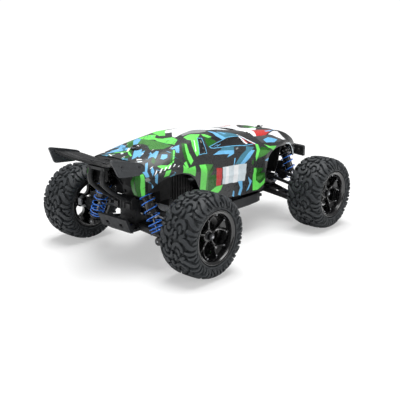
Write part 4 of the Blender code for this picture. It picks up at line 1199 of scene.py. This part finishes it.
def rim_pieces():
    rim = Pieces()
    segs = 72 if FINE else 48
    y = RIM_Y
    barrel = [
        (20.4, -y), (21.0, -y - 0.35), (23.7, -y - 0.35), (24.2, -y + 0.1), (24.15, -y + 1.3),
        (22.3, -y + 1.9), (21.6, -y + 5.0), (21.4, 0.0), (21.6, y - 5.0), (22.3, y - 1.9),
        (24.1, y - 1.4), (24.3, y - 0.4), (24.15, y + 0.15), (23.75, y + 0.42), (23.3, y + 0.3),
        (22.95, y - 0.25), (22.3, y - 0.75), (21.6, y - 1.0), (21.15, y - 1.25),
        (20.95, y - 1.9), (20.6, y - 2.7), (20.3, y - 4.5), (20.3, 8.2), (19.7, 7.4),
        (19.9, 0.0), (20.1, -10.0)]
    rim.add(turned(barrel, segs, ring=True))
    # ring where the spokes meet the barrel
    rim.add(turned(points("20.1,10.2 20.9,10.2 20.9,11.4 20.1,11.6"), segs, ring=True))
    for k in range(SPOKES):
        for branch in (-1, 1):
            rim.add(half_spoke(spoke_angle(k), branch))
        rim.add(spoke_web(spoke_angle(k)))
    hub = points("""0,-0.5 6,-0.5 7,0.6 7,4 6.4,7.2 5.7,8.2 5.2,8.4 4.9,7.9 4.6,7.9 0,7.9""")
    rim.add(turned(hub, 36))
    # steel hexagon behind the hub
    rim.add(turned(points("4.6,-6 6.2,-6 6.2,-0.3 4.6,-0.3"), 6, ring=True), 2)
    # hexagonal wheel nut, the stub through it and the axle behind
    nut = points("0,7.8 4.2,7.8 4.3,8.3 3.6,8.8 3.55,11 3.1,11.6 1.8,11.7 1.7,11.2 0,11.2")
    rim.add(turned(nut, 6), 1)
    rim.add(turned(points("0,11 1.5,11 1.5,12.3 1.1,12.7 0,12.7"), 16), 2)
    rim.add(turned(points("0,-12.5 2.4,-12.5 2.4,-0.4 0,-0.4"), 16), 2)
    bolt = points("0,-0.3 0.75,-0.3 0.75,0.5 0.45,0.75 0,0.8")
    for k in range(SPOKES):
        for spread in (-FORK_SPREAD, FORK_SPREAD):
            angle = spoke_angle(k) + spread
            rim.add(turned(bolt, 8, (19.2 * math.cos(angle), 11.3, 19.2 * math.sin(angle))), 2)
    return rim


def build_wheels():
    tyre, rim = tyre_pieces(), rim_pieces()
    for tag, axle_x, _, side in CORNERS:
        def place(verts):
            return np.array(verts) * (side, side, 1.0) + (axle_x, side * TRACK_Y, AXLE_Z)
        rider = f"{tag}_wheel_body"
        obj = mesh_object(f"{tag}_tyre_tread", place(tyre.verts), tyre.faces,
                          ["tyre_rubber", "tyre_sidewall"], tyre.mats, sharp=48)
        register(obj, rider, f"{tag}_tyre")
        obj = mesh_object(f"{tag}_rim_spoked", place(rim.verts), rim.faces,
                          ["rim_gloss_black", "screw_black_oxide", "steel"], rim.mats, sharp=42)
        register(obj, rider, f"{tag}_rim")


build_wheels()


# ================================================================ shock absorbers
SHOCK_OFF = 14.0                            # from the axle, away from the truck's middle
SHOCK_TOP, SHOCK_LOW = (23.0, 77.0), (45.0, 26.6)   # (y, z) of the pins
SPRING_R, WIRE_R, COIL_TURNS = 6.3, 0.54, 6.8
SPRING_SEAT = 9.7                           # below the top pin
CUP_RISE = 8.4                              # spring cup above the lower pin


def coil(top, axes, start, end):
    """Spring wire: closer turns at the ends, closest at the bottom."""
    along, across, third = axes
    count = int(COIL_TURNS * (26 if FINE else 16))
    path = []
    for i in range(count + 1):
        t = i / count
        travel = t - 0.055 * math.sin(2 * math.pi * t)
        travel = travel + 0.10 * math.sin(math.pi * travel) * (1 - travel * 0.2)
        travel = min(max(travel, 0.0), 1.0)
        angle = 2 * math.pi * COIL_TURNS * t
        radius = SPRING_R - 0.35 * max(t - 0.86, 0.0) / 0.14     # narrows at the bottom
        path.append(top + along * (start + (end - start) * travel)
                    + across * (radius * math.cos(angle)) + third * (radius * math.sin(angle)))
    return path


def shock_upper(tag, top, axes):
    """Body with cap, threaded collar and eye."""
    along, across, third = axes
    body = Pieces()
    profile = points("""0,3 2.6,3 4.7,3.8 5.2,4.8 5.2,6.6 4.9,7 6.6,7.5 6.95,7.9 6.95,9.1
        6.5,9.5 5.2,9.7 4.7,10.2""")
    for k in range(9):                      # thread
        height = 10.2 + 0.8 * k
        profile += [(4.62, height + 0.25), (4.38, height + 0.5), (4.62, height + 0.75)]
    profile += points("4.5,17.6 4.5,27.8 4.7,28.2 4.7,29.6 4.2,30 1.7,30 0,30")
    body.add(turned(profile, 28, top, along))
    for k in range(10):                     # grips on the cap
        angle = 2 * math.pi * k / 10
        centre = top + across * (5.2 * math.cos(angle)) + third * (5.2 * math.sin(angle))
        body.add(turned(points("0,4.9 0.55,4.9 0.55,6.5 0,6.5"), 8, centre, along))
    eye = points("1.85,-2 3.4,-2 3.7,-1.6 3.7,1.6 3.4,2 1.85,2")
    body.add(turned(eye, 24, top, (1, 0, 0), ring=True))
    body.add(tube([top + along * 2.6, top + along * 5.0], [2.7, 3.6], 16))
    bush = points("1.72,-2.1 2.3,-2.1 2.3,2.1 1.72,2.1")
    body.add(turned(bush, 16, top, (1, 0, 0), ring=True), 1)
    body.make(f"{tag}_shock_upper", ["shock_black", "steel"],
              f"{tag}_shock_body_body", 38, f"{tag}_shock_body")


def shock_lower(tag, top, low, along, length):
    """Piston rod, spring cup and eye."""
    shaft = Pieces()
    rod_end = length - 6.8
    shaft.add(turned([(0, 21.0), (1.15, 21.0), (1.15, rod_end), (0, rod_end)], 16, top, along), 1)
    # radius, height above the lower pin
    cup = points("""0,8.2 3.4,8.4 6.5,8.4 6.9,8 6.9,7.2 6.2,6.8 3.4,6.4 2.6,5.2 2.3,3.4 0,3""")
    shaft.add(turned([(radius, length - rise) for radius, rise in cup], 28, top, along))
    eye = points("2.4,-2 3.9,-2 4.2,-1.7 4.2,1.7 3.9,2 2.4,2")
    shaft.add(turned(eye, 24, low, (1, 0, 0), ring=True))
    shaft.make(f"{tag}_shock_lower", ["shock_black", "piston_dark_chrome"],
               f"{tag}_shock_shaft_body", 38, f"{tag}_shock_shaft")


def shock_spring(tag, top, axes, length):
    """Coil between the two halves of the shock."""
    start, end = SPRING_SEAT + WIRE_R, length - CUP_RISE - WIRE_R
    spring = Pieces()
    spring.add(tube(coil(top, axes, start, end), WIRE_R, 10 if FINE else 7))
    obj = spring.make(f"{tag}_spring_coil", ["spring_blue"], rider=None,
                      sharp=60, replaces=f"{tag}_spring")
    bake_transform(obj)


def shock_pins(tag, top, low, fore):
    """Cap on the lower pin and screw on the upper one."""
    cap = Pieces()
    dome = points("0,2.7 3.3,2.7 3.6,3.1 3.5,3.8 2.6,4.3 1.5,4.4 1.35,3.9 0,3.85")
    cap.add(turned(dome, 24, low, (fore, 0, 0)))
    cap.add(turned(points("0,3.8 1.05,3.8 0.95,4.35 0,4.5"), 6, low, (fore, 0, 0)), 1)
    cap.make(f"{tag}_shock_pin_cap", ["shock_black", "steel"], f"{tag}_arm_body", 38)
    screw = Pieces()
    screw.add(screw_head(top + Vector((fore * 3.2, 0, 0)), (fore, 0, 0), 2.6, 1.4))
    screw.make(f"{tag}_shock_top_screw", ["screw_black_oxide"], sharp=38)


def build_shocks():
    for tag, axle_x, fore, side in CORNERS:
        top, low = (Vector((axle_x + fore * SHOCK_OFF, side * y, z))
                    for y, z in (SHOCK_TOP, SHOCK_LOW))
        length = (low - top).length
        axes = axes_of(low - top)
        shock_upper(tag, top, axes)
        shock_lower(tag, top, low, axes[0], length)
        shock_spring(tag, top, axes, length)
        shock_pins(tag, top, low, fore)


build_shocks()


# ================================================================ wing and its bracket
# Blade stations: y, rear edge x and z, front edge x and z.
WING_SPAN = points("""0,-132,94,-113,93.4 12,-133.5,94.1,-113.3,93.6 24,-140,96.8,-113.8,94.4
    34,-144.5,100.4,-114.3,95.4 40.8,-146.4,102.5,-114.6,96""")
# Blade section from the rear edge: share of the chord, height over the chord line.
# Two grooves run along the top.
WING_TOP = points("""0,1.9 0.035,1.9 0.05,0.75 0.18,1 0.30,1.15 0.325,0.65 0.355,0.65
    0.38,1.2 0.55,1.25 0.62,1.2 0.645,0.7 0.675,0.7 0.70,1.15 0.88,0.95 0.97,0.5 1,0""")
WING_LOW = points("0.97,-0.45 0.85,-0.85 0.6,-1 0.3,-0.9 0.06,-0.5 0,-0.45")
# End plate outline (x, z), the middle its rim shrinks to and its two slanting ribs.
PLATE = points("""-151,105.7 -149.6,106.3 -148,106.2 -133,102.9 -120,99.6 -117.4,98.4
    -115.4,96.2 -115.2,94.9 -116.2,93.2 -121,89.8 -122.5,89.4 -133,90.1 -141.5,90.8
    -143.6,91.3 -145.2,92.8""")
PLATE_MIDDLE = (-132.5, 96.8)
PLATE_RIBS = [points("-144,101.9 -122.5,96.3 -122.9,95.3 -143.2,100.2"),
              points("-141.6,97.6 -124,93.9 -124.4,92.9 -140.9,95.9")]
PLATE_TOP, PLATE_LEAN = 105.7, 0.14         # plates spread outward below their top
POST_Y = 8.0                                # bracket posts


def wing_blade():
    def smoothed(y, values):
        """Piecewise-linear table with its corners rounded."""
        return sum(np.interp(np.abs(y + shift), stations, values)
                   for shift in (-3.0, -1.5, 0.0, 1.5, 3.0)) / 5.0
    stations, *edges = zip(*WING_SPAN)
    section = WING_TOP + WING_LOW
    verts = []
    for y in np.linspace(-41.0, 41.0, 57):
        rear_x, rear_z, front_x, front_z = (smoothed(y, values) for values in edges)
        verts += [(rear_x + (front_x - rear_x) * share, y,
                   rear_z + (front_z - rear_z) * share + height) for share, height in section]
    return verts, lattice(57, len(section)) + end_caps(57, len(section))


def end_plate(side, outline, near, far):
    """Leaning plate between two distances outside y = 40."""
    verts = [(x, side * (40.0 + depth + (PLATE_TOP - z) * PLATE_LEAN), z)
             for depth in (near, far) for x, z in outline]
    return verts, prism_faces(len(outline))


def toward_middle(point, share_x, share_z):
    return tuple(value + (middle - value) * share
                 for value, middle, share in zip(point, PLATE_MIDDLE, (share_x, share_z)))


def build_wing():
    wing = Pieces()
    wing.add(wing_blade())
    for side in (1, -1):
        wing.add(end_plate(side, PLATE, 0.0, 1.7), 1)
        for start, end in sides_of(PLATE):      # raised rim
            strip = [toward_middle(start, 0.015, 0.04), toward_middle(end, 0.015, 0.04),
                     toward_middle(end, 0.06, 0.16), toward_middle(start, 0.06, 0.16)]
            wing.add(end_plate(side, strip, 1.6, 2.05), 1)
        for rib in PLATE_RIBS:
            wing.add(end_plate(side, rib, 1.6, 2.0), 1)
        for x, z in ((-140.0, 99.6), (-121.5, 96.4)):
            y = side * (41.75 + (PLATE_TOP - z) * PLATE_LEAN)
            wing.add(screw_head((x, y, z), (0, side, PLATE_LEAN), 1.1, 0.6), 2)
    for side in (1, -1):                        # washers over the bracket
        wing.add(turned(points("0,0 3,0 3,0.7 1.8,0.9 0,0.9"), 20,
                        (-129.8, side * POST_Y, 94.9), (0, 0, 1)))
        wing.add(screw_head((-129.8, side * POST_Y, 95.8), (0, 0, 1), 1.5, 1.0), 2)
        for share in (0.2, 0.5, 0.8):           # ribs under the blade
            x, drop = -131.5 + 17.5 * share, 4.5 * share
            rib = [(10, 93.0), (38, 99.0 - drop), (38, 97.6 - drop), (10, 91.8)]
            wing.add(prism(on_side(side, rib), "X", x - 0.4, x + 0.4))
    obj = wing.make("wing_blade", ["wing_black", "wing_plate_grey", "screw_black_oxide"],
                    sharp=32, replaces="rear_wing")
    bevel(obj, width=0.25, segments=2, angle=35)


def build_wing_bracket():
    mount = Pieces()
    # post centre line (x, z), from the wing down to the foot
    line = points("-130.4,91.9 -132.2,85 -132.4,80 -130,75.4 -119,66.4 -108,59.8 -100.4,56")
    for side in (1, -1):
        y = side * POST_Y
        path = spline([(x, y, z) for x, z in line], 5)
        mount.add(tube(path, 2.25, 18))
        mount.add(turned(points("0,0 3,0 3.2,0.5 3.2,3 2.5,4.4 0,4.4"), 20,
                         (-103.8, y, 57.4), (-0.9, 0, 0.44)))
        for i in (6, 22):                       # collars
            mount.add(turned(points("2.2,-0.8 2.55,-0.6 2.55,0.6 2.2,0.8"), 20, path[i],
                             path[i + 1] - path[i], ring=True))
        mount.add(block((-104.2, -103.0), (y - 2.6, y + 2.6), (49.0, 54.5)))
        mount.add(screw_head((-102.7, y, 50.6), (-1, 0, 0), 1.4), 1)
    mount.add(block((-102.6, -97.4), (-11.5, 11.5), (48.0, 59.5)))      # foot
    mount.add(block((-132.6, -127.0), (-11.0, 11.0), (89.6, 92.3)))     # seat under the wing
    for y in (-6, -2, 2, 6):                    # ribs on the foot
        mount.add(prism(points("-103.4,58.9 -102.4,58.9 -102.4,48.6 -103.4,48.6"), "Y",
                        y - 0.4, y + 0.4))
    obj = mount.make("wing_bracket", ["wing_mount_black", "screw_black_oxide"],
                     replaces="wing_mount")
    bevel(obj, width=0.3, segments=2, angle=40)


build_wing()
build_wing_bracket()


# ================================================================ tail flange, and inner liners: near-black sheets of painted shade inside the shell
def section_line(x):
    """Half outline (y, z) 1.9 mm inside the shell at x, from the roof down."""
    count = 41
    verts, normals = skin(np.full(count, x), np.linspace(0, float(edge_girth(x)), count))
    return [(abs(point[1]), point[2]) for point in verts - normals * 1.9]


def symmetric(half):
    """Closed outline from a half that starts at the middle."""
    return [(-y, z) for y, z in half] + [(y, z) for y, z in reversed(half[1:])]


def add_slab(pieces, side, outline, near, far):
    """Upright (x, z) outline between two distances from the middle."""
    pieces.add(prism(outline, "Y", *sorted((side * near, side * far))))


def build_flange():
    """Turned-in flange round the open tail."""
    count, thick = 61, np.array([0.9, 0, 0])
    shares = np.linspace(-1, 1, count)
    x = np.array([tail_x(abs(share)) + 0.25 for share in shares])
    outer, normals = skin(x, shares * edge_girth(x))
    outer = outer - normals * 0.25
    depth = 3.0 + 5.5 * np.abs(shares) ** 2.0 * (1 - 0.45 * np.abs(shares) ** 8)
    inner = outer - normals * depth[:, None]
    inner[:, 0] = outer[:, 0] + 0.8
    verts = [tuple(point) for start, end in zip(outer, inner)
             for point in (start, end, end + thick, start + thick)]
    last = len(verts) - 1
    faces = lattice(count, 4) + [(0, 1, 2, 3), (last, last - 1, last - 2, last - 3)]
    mats = []
    for i in range(count - 1):                  # the lower ends are dark green
        mats += [1 if abs((i + 0.5) / 30 - 1) > 0.62 else 0] * 4
    flange = mesh_object("shell_tail_flange", verts, faces, ["paint_black", "paint_dark"],
                         mats + [1, 1])
    register(flange, "chassis")


def build_rear_shade_liner():
    # Every piece here is a near-black sheet of painted shade, filling the shaded inside of the
    # shell behind the cab.
    liner = Pieces()
    # bulkhead across the shell, in front of the shock tower
    half = [(y, z) for y, z in section_line(-79.0) if z > 83.5]
    half += points("36.5,80 36.5,72 36,60 35,52.4 18.4,52.4 17.8,57.6 10,57.6")
    liner.add(prism(symmetric(half), "X", -79.6, -78.2))
    tail = [(y, z) for y, z in section_line(-109.0) if y > 11.5 and z > 77.0]
    tail += [(min(tail[-1][0], 37.0), 76.0), (34.0, 71.0), (22.0, 71.5), (11.5, 74.0)]
    for side in (1, -1):
        for y in (6, 14, 22, 30):
            liner.add(block((-80.4, -79.4), (side * y - 0.5, side * y + 0.5), (68.0, 88.0)))
        # side wall beside the motor bay, with upright and level ribs
        add_slab(liner, side, points("""-79,80.6 -68,80.4 -60,77.6 -53,70.5 -48.5,62 -44.5,56
            -44.5,42 -52,38.5 -62,42 -70,52 -79,62"""), 36.0, 37.2)
        for k in range(9):
            x = -76.0 + k * 3.4
            high = float(np.interp(x, [-79, -68, -60, -53, -48], [79.6, 79.2, 76.0, 69.0, 60.5]))
            low = float(np.interp(x, [-79, -70, -62, -52, -45], [63.0, 53.0, 43.5, 40.0, 43.0]))
            liner.add(block((x - 0.5, x + 0.5), sorted((side * 37.0, side * 38.0)), (low, high)))
        for z in (56.0, 66.0):
            liner.add(block((-70.0, -49.5), sorted((side * 37.0, side * 37.7)),
                            (z - 0.5, z + 0.5)))
        # wall over the rear shock, and the baffle behind it
        add_slab(liner, side, points("""-108.4,71 -104,69 -92.2,69 -91.4,59.6 -79,59.6
            -79,80.6 -90,82.5 -108.4,80"""), 36.0, 37.0)
        liner.add(prism(on_side(side, tail), "X", -109.6, -108.4))
    obj = liner.make("rear_shade_liner", ["shade_fill_black"], sharp=35)
    bevel(obj, width=0.2, segments=1, angle=40)


def build_front_shade_liner():
    # The bulkhead, its ribs, the struts and the walls behind the front wheels are near-black
    # sheets of painted shade for the inside of the shell. The brackets, discs and gussets are in
    # tray and servo black.
    liner = Pieces()
    # bulkhead across the shell
    half = [(y, z) for y, z in section_line(94.0) if z > 86.0]
    half += points("""35,82.5 33.8,76 32.6,66 30.6,57 28,52.2 18.2,52.2 17.6,57.6 8,57.6""")
    liner.add(prism(symmetric(half), "X", 93.2, 94.4))
    for side in (1, -1):
        for y in (5, 12, 19, 26):
            liner.add(block((94.2, 95.2), (side * y - 0.5, side * y + 0.5),
                            (60.0 if y < 14 else 56.0, 84.0 if y > 20 else 88.0)))
        # side bracket with a ringed disc, and a strut up to the shell
        bracket = points("12.5,51.4 27.5,50.6 28.6,49 28.4,46.6 26,45.4 12.5,46.2")
        liner.add(prism(on_side(side, bracket), "X", 91.6, 93.0), 1)
        liner.add(turned(points("1,-0.2 1.9,-0.2 1.9,0.5 1,0.5"), 18,
                         (91.5, side * 23.5, 48.2), (-1, 0, 0), ring=True), 1)
        liner.add(turned(points("0,0 1,0 1,0.2 0,0.2"), 18,
                         (91.55, side * 23.5, 48.2), (-1, 0, 0)), 2)
        liner.add(tube([(93.8, side * 15.5, 60.5), (94.4, side * 20.0, 72.0),
                        (96.0, side * 25.0, 82.0)], 1.4, 12))
        # gusset in front of the shock, with three ribs
        gusset = points("7.5,35 13,34 22.5,38.5 26.5,45 25.5,54 21,58.5 13,58 7.5,56")
        liner.add(prism(on_side(side, gusset), "X", 123.7, 124.9), 1)
        for z in (40.5, 47.0, 53.5):
            liner.add(block((124.8, 125.6), sorted((side * 8.0, side * 24.0)),
                            (z - 0.5, z + 0.5)), 1)
        # wall behind the front wheel
        add_slab(liner, side, points("""56.5,45.5 58.5,57 60.5,68 64,75.5 71,79.8 78,79.8
            74,66 70,52 66,43"""), 30.0, 31.2)
    obj = liner.make("front_shade_liner", ["shade_fill_black", "tray_black", "servo_case"],
                     sharp=35)
    bevel(obj, width=0.2, segments=1, angle=40)


build_flange()
build_rear_shade_liner()
build_front_shade_liner()


# ================================================================ body posts, clips, fasteners
def build_posts():
    posts = Pieces()
    for x, z in ((-85.8, 98.8), (100.8, 90.5)):
        roof = float(skin(np.array([x]), np.array([0.0]))[0][0, 2])
        post = [(0, z - 4.0), (2.0, z - 4.0), (2.0, roof + 2.6), (1.5, roof + 3.3),
                (0, roof + 3.3)]
        posts.add(turned(post, 20, (x, 0, 0), (0, 0, 1)))
        collar = [(2.1, roof - 0.2), (4.2, roof - 0.2), (4.2, roof + 0.45), (3.8, roof + 0.7),
                  (2.1, roof + 0.7)]
        posts.add(turned(collar, 24, (x, 0, 0), (0, 0, 1), ring=True))
        # wire clip, from the post
        clip = points("""-5,1,0 -1,1.7,0 3.5,1.2,0 5,0.6,0.4 5.2,-0.8,0.8 3.6,-2.4,0.4
            0,-2.3,0 -6.5,-2.4,0""")
        wire = [(x + along, y, roof + 1.6 + rise) for along, y, rise in clip]
        posts.add(tube(spline(wire, 4), 0.42, 8), 1)
    posts.make("body_posts_and_clips", ["chassis_black", "screw_bright"])


def build_chassis_fasteners():
    parts = Pieces()
    for axle_x, fore in ENDS.values():
        outward, tower_x = (fore, 0, 0), axle_x + fore * 5.6
        for side in (1, -1):
            # tower bolts and rings round the tower's holes
            parts.add(screw_head((tower_x, side * 9.4, 60.8), outward, 1.7, 1.2))
            for y, z in ((16.5, 73.0), (19.5, 79.3)):
                parts.add(turned(points("0.9,-0.1 1.7,-0.1 1.7,0.5 0.9,0.5"), 16,
                                 (tower_x, side * y, z), outward, ring=True), 1)
            # ribs along the tower's arms
            rib = points("12.6,66 17.2,70.6 25,73 24.8,74 16.4,71.6 11.8,66.8")
            parts.add(prism(on_side(side, rib), "X",
                            *sorted((axle_x + fore * 5.4, axle_x + fore * 6.6))), 1)
            for x in (-8.0, 8.0):               # gearbox screws
                parts.add(screw_head((axle_x + x, side * 7.6, 55.9), (0, 0, 1), 1.4, 1.0))
        for z in (33.0, 40.0, 47.0):            # gearbox ribs
            parts.add(block(sorted((axle_x + fore * 12.2, axle_x + fore * 13.0)), (-8.0, 8.0),
                            (z - 0.4, z + 0.4)), 1)
    for side in (1, -1):
        parts.add(screw_head((-99.0, side * 4.5, 33.6), (0, 0, 1), 1.4, 1.0))
        parts.add(screw_head((117.0, side * 5.2, 34.4), (0, 0, 1), 1.4, 1.0))
        # rings on the rear and front bumpers
        parts.add(turned(points("2.4,-0.25 3.4,-0.25 3.4,0.35 2.4,0.35"), 20,
                         (-112.6, side * 9.0, 37.6), (-0.90, 0, 0.43), ring=True), 2)
        parts.add(turned(points("2.4,-0.2 3.5,-0.2 3.5,0.5 2.4,0.5"), 20,
                         (149.7, side * 25.5, 68.6), (0.93, side * 0.36, 0), ring=True), 1)
        parts.add(screw_head((148.0, side * 7.5, 73.8), (0, 0, 1), 1.4, 0.9))
        parts.add(screw_head((148.0, side * 16.5, 73.8), (0, 0, 1), 1.2, 0.8))
    for x in (-36.0, -12.0, 12.0, 36.0):        # underside of the tray
        for side in (1, -1):
            parts.add(screw_head((x, side * 12.0, 26.5), (0, 0, -1), 1.7, 0.35))
    parts.make("chassis_fasteners", ["screw_black_oxide", "chassis_black", "bumper_grey"])


def build_arm_details():
    """Hinge caps on the chassis; ribs and screws on each lower arm."""
    for tag, axle_x, _, side in CORNERS:
        hinge, tip = Vector((axle_x, side * 14.0, 32.0)), Vector((axle_x, side * 52.0, 25.0))
        along = (tip - hinge).normalized()
        above = Vector((0, -along.z * side, along.y * side))
        caps = Pieces()
        for sign in (-1, 1):
            caps.add(screw_head(hinge + Vector((sign * 12.8, 0, 0)), (sign, 0, 0), 1.9, 0.9))
        caps.make(f"{tag}_hinge_caps", ["screw_black_oxide"])
        arm = Pieces()
        for x in (-8.6, 8.6):
            arm.add(tube([hinge + along * 5 + Vector((x, 0, 0)) + above * 2.0,
                          tip - along * 6 + Vector((x * 0.55, 0, 0)) + above * 2.0], 0.9, 8))
        for share in (0.3, 0.55, 0.78):         # cross ribs
            middle = hinge + (tip - hinge) * share + above * 1.9
            half = Vector((8.6 - 3.9 * share, 0, 0))
            arm.add(tube([middle - half, middle + half], 0.7, 8))
        for sign in (-1, 1):
            arm.add(screw_head(tip + Vector((sign * 6.6, 0, 0)), (sign, 0, 0), 1.6, 0.8), 1)
        arm.make(f"{tag}_arm_ribs", ["arm_black", "screw_black_oxide"],
                 f"{tag}_arm_body")


build_posts()
build_chassis_fasteners()
build_arm_details()


# ================================================================ motor, wiring and electrics
def build_motor():
    """Motor along X; its profile is (radius, x)."""
    y, z = 15.3, 44.5
    motor = Pieces()
    profile = points("""0,-44.5 3,-44.5 3.2,-44 9,-44 9.6,-43.2 9.6,-40.6 9.2,-40.2 9.2,-39.4
        9.6,-39 9.6,-19 9.2,-18.6 9.2,-17.9 9.6,-17.5 8.9,-15.9 8.4,-15.5 3.4,-15.5
        3.2,-13.5 0,-13.5""")
    motor.add(turned(profile, 40, (0, y, z), (1, 0, 0)))
    for k in range(3):
        angle = 2 * math.pi * k / 3 + 0.5
        centre = (-44.3, y + 6.0 * math.cos(angle), z + 6.0 * math.sin(angle))
        motor.add(screw_head(centre, (-1, 0, 0), 1.1, 0.7), 2)
    motor.make("motor_can", ["shock_black", "chassis_black", "screw_bright"],
               sharp=35, replaces="drive_motor")


# Wires: path, radius, material slot.
WIRES = [
    ("-14.5,12.5,46.5 -9.5,12.5,47.5 -5,14,46 -2,17,43 1,18,41.4", 0.9, 0),
    ("-14.5,18.5,46.5 -9,19.5,47 -4,21,45.5 -1,22,43 1,22,41.4", 0.9, 1),
    ("31,16,38 40,15,36 50,13,34 60.5,11,34", 0.7, 1),
    ("29,-14,44 33,-6,42 33.5,6,40 31.4,14,38.5", 1.1, 0),
]


def build_wiring():
    wiring = Pieces()
    for path, radius, mat in WIRES:
        wiring.add(tube(spline(points(path), 6), radius, 8), mat)
    for x in (2.0, 6.0, 10.0, 14.0, 18.0, 22.0, 26.0):      # fins on the control unit
        wiring.add(block((x - 0.8, x + 0.8), (12.5, 30.5), (41.4, 46.0)), 2)
    strap = points("""-34.8,29.4 -34.8,47.6 -9.2,47.6 -9.2,29.4 -9.9,29.4 -9.9,46.9
        -34.1,46.9 -34.1,29.4""")
    for x in (-32.0, 18.0):                                 # straps over the battery
        wiring.add(prism(strap, "X", x - 4.0, x + 4.0), 1)
    wiring.make("wiring_and_straps", ["wire_red", "servo_case", "tray_black"])


def build_servo_screws():
    screws = Pieces()
    for x in (62.0, 76.0):
        for y in (7.2, 16.8):
            screws.add(screw_head((x, y, 42.4), (0, 0, 1), 0.9, 0.5))
    screws.add(screw_head((71, 13, 49.6), (0, 0, 1), 1.3, 0.8))
    screws.make("servo_screws", ["screw_bright"])


build_motor()
build_wiring()
build_servo_screws()


# ================================================================ stage (in metres)
def aim(obj, place, target):
    obj.location = place
    obj.rotation_euler = (Vector(target) - Vector(place)).to_track_quat("-Z", "Y").to_euler()


def build_floor():
    mesh = bpy.data.meshes.new("floor")
    mesh.from_pydata([(-6, -6, 0), (6, -6, 0), (6, 6, 0), (-6, 6, 0)], [], [(0, 1, 2, 3)])
    floor = bpy.data.objects.new("floor", mesh)
    bpy.context.scene.collection.objects.link(floor)
    shader = Shader("floor")
    shader.set(Base_Color=(0.93, 0.93, 0.93), Roughness=0.6, Specular_IOR_Level=0.2)
    # the sheet brightens with distance, so it runs into the white background
    away = shader.node("ShaderNodeVectorMath", {"operation": "LENGTH"})
    shader.feed(away.inputs[0], shader.coords)
    glow = shader.node("ShaderNodeEmission", Strength=1.1)
    far = shader.node("ShaderNodeMapRange", {"interpolation_type": "SMOOTHSTEP"},
                      Value=away.outputs["Value"], From_Min=0.16, From_Max=0.75,
                      To_Min=0.36, To_Max=1.0)
    seen = shader.node("ShaderNodeLightPath").outputs["Is Camera Ray"]
    mixer = shader.node("ShaderNodeMixShader")
    shader.feed(mixer.inputs[0], shader.multiply(far.outputs["Result"], seen))
    shader.feed(mixer.inputs[1], shader.bsdf.outputs[0])
    shader.feed(mixer.inputs[2], glow.outputs[0])
    shader.feed(shader.tree.nodes["Material Output"].inputs["Surface"], mixer.outputs[0])
    mesh.materials.append(shader.material)


def build_world():
    """White surroundings, brighter to the camera than as a light."""
    world = bpy.data.worlds.new("studio")
    bpy.context.scene.world = world
    world.use_nodes = True
    tree = world.node_tree
    background = tree.nodes["Background"]
    background.inputs["Color"].default_value = (1.0, 1.0, 1.0, 1.0)
    seen = tree.nodes.new("ShaderNodeLightPath").outputs["Is Camera Ray"]
    level = tree.nodes.new("ShaderNodeMapRange")
    level.inputs["To Min"].default_value = 0.30
    level.inputs["To Max"].default_value = 1.05
    tree.links.new(seen, level.inputs["Value"])
    tree.links.new(level.outputs["Result"], background.inputs["Strength"])


# name, place, target, width, height, power in watts
LIGHTS = [
    ("key_top", (0.10, 0.05, 1.3), (0, 0, 0.03), 1.1, 1.1, 24.0),
    ("side_near", (0.35, -1.3, 0.5), (0, 0, 0.05), 0.7, 0.35, 4.0),
    ("side_rear", (-1.3, 0.25, 0.55), (0, 0, 0.05), 0.7, 0.35, 3.0),
]


def build_lights():
    for name, place, target, width, height, power in LIGHTS:
        light = bpy.data.lights.new(name, "AREA")
        light.energy = power
        light.shape = "RECTANGLE"
        light.size = width
        light.size_y = height
        obj = bpy.data.objects.new(name, light)
        bpy.context.scene.collection.objects.link(obj)
        aim(obj, place, target)


def build_camera():
    scene = bpy.context.scene
    camera = bpy.data.cameras.new("camera")
    camera.sensor_width = 36.0
    camera.lens = 60.1371
    camera.clip_start = 0.01
    obj = bpy.data.objects.new("camera", camera)
    scene.collection.objects.link(obj)
    aim(obj, Vector((-0.4928, -0.4401, 0.2208)), (0.0027, 0.0, 0.0339))
    scene.camera = obj
    scene.view_settings.view_transform = "Standard"
    scene.view_settings.look = "None"


build_floor()
build_world()
build_lights()
build_camera()


def plain(box):
    return [[round(float(value), 6) for value in corner] for corner in box]
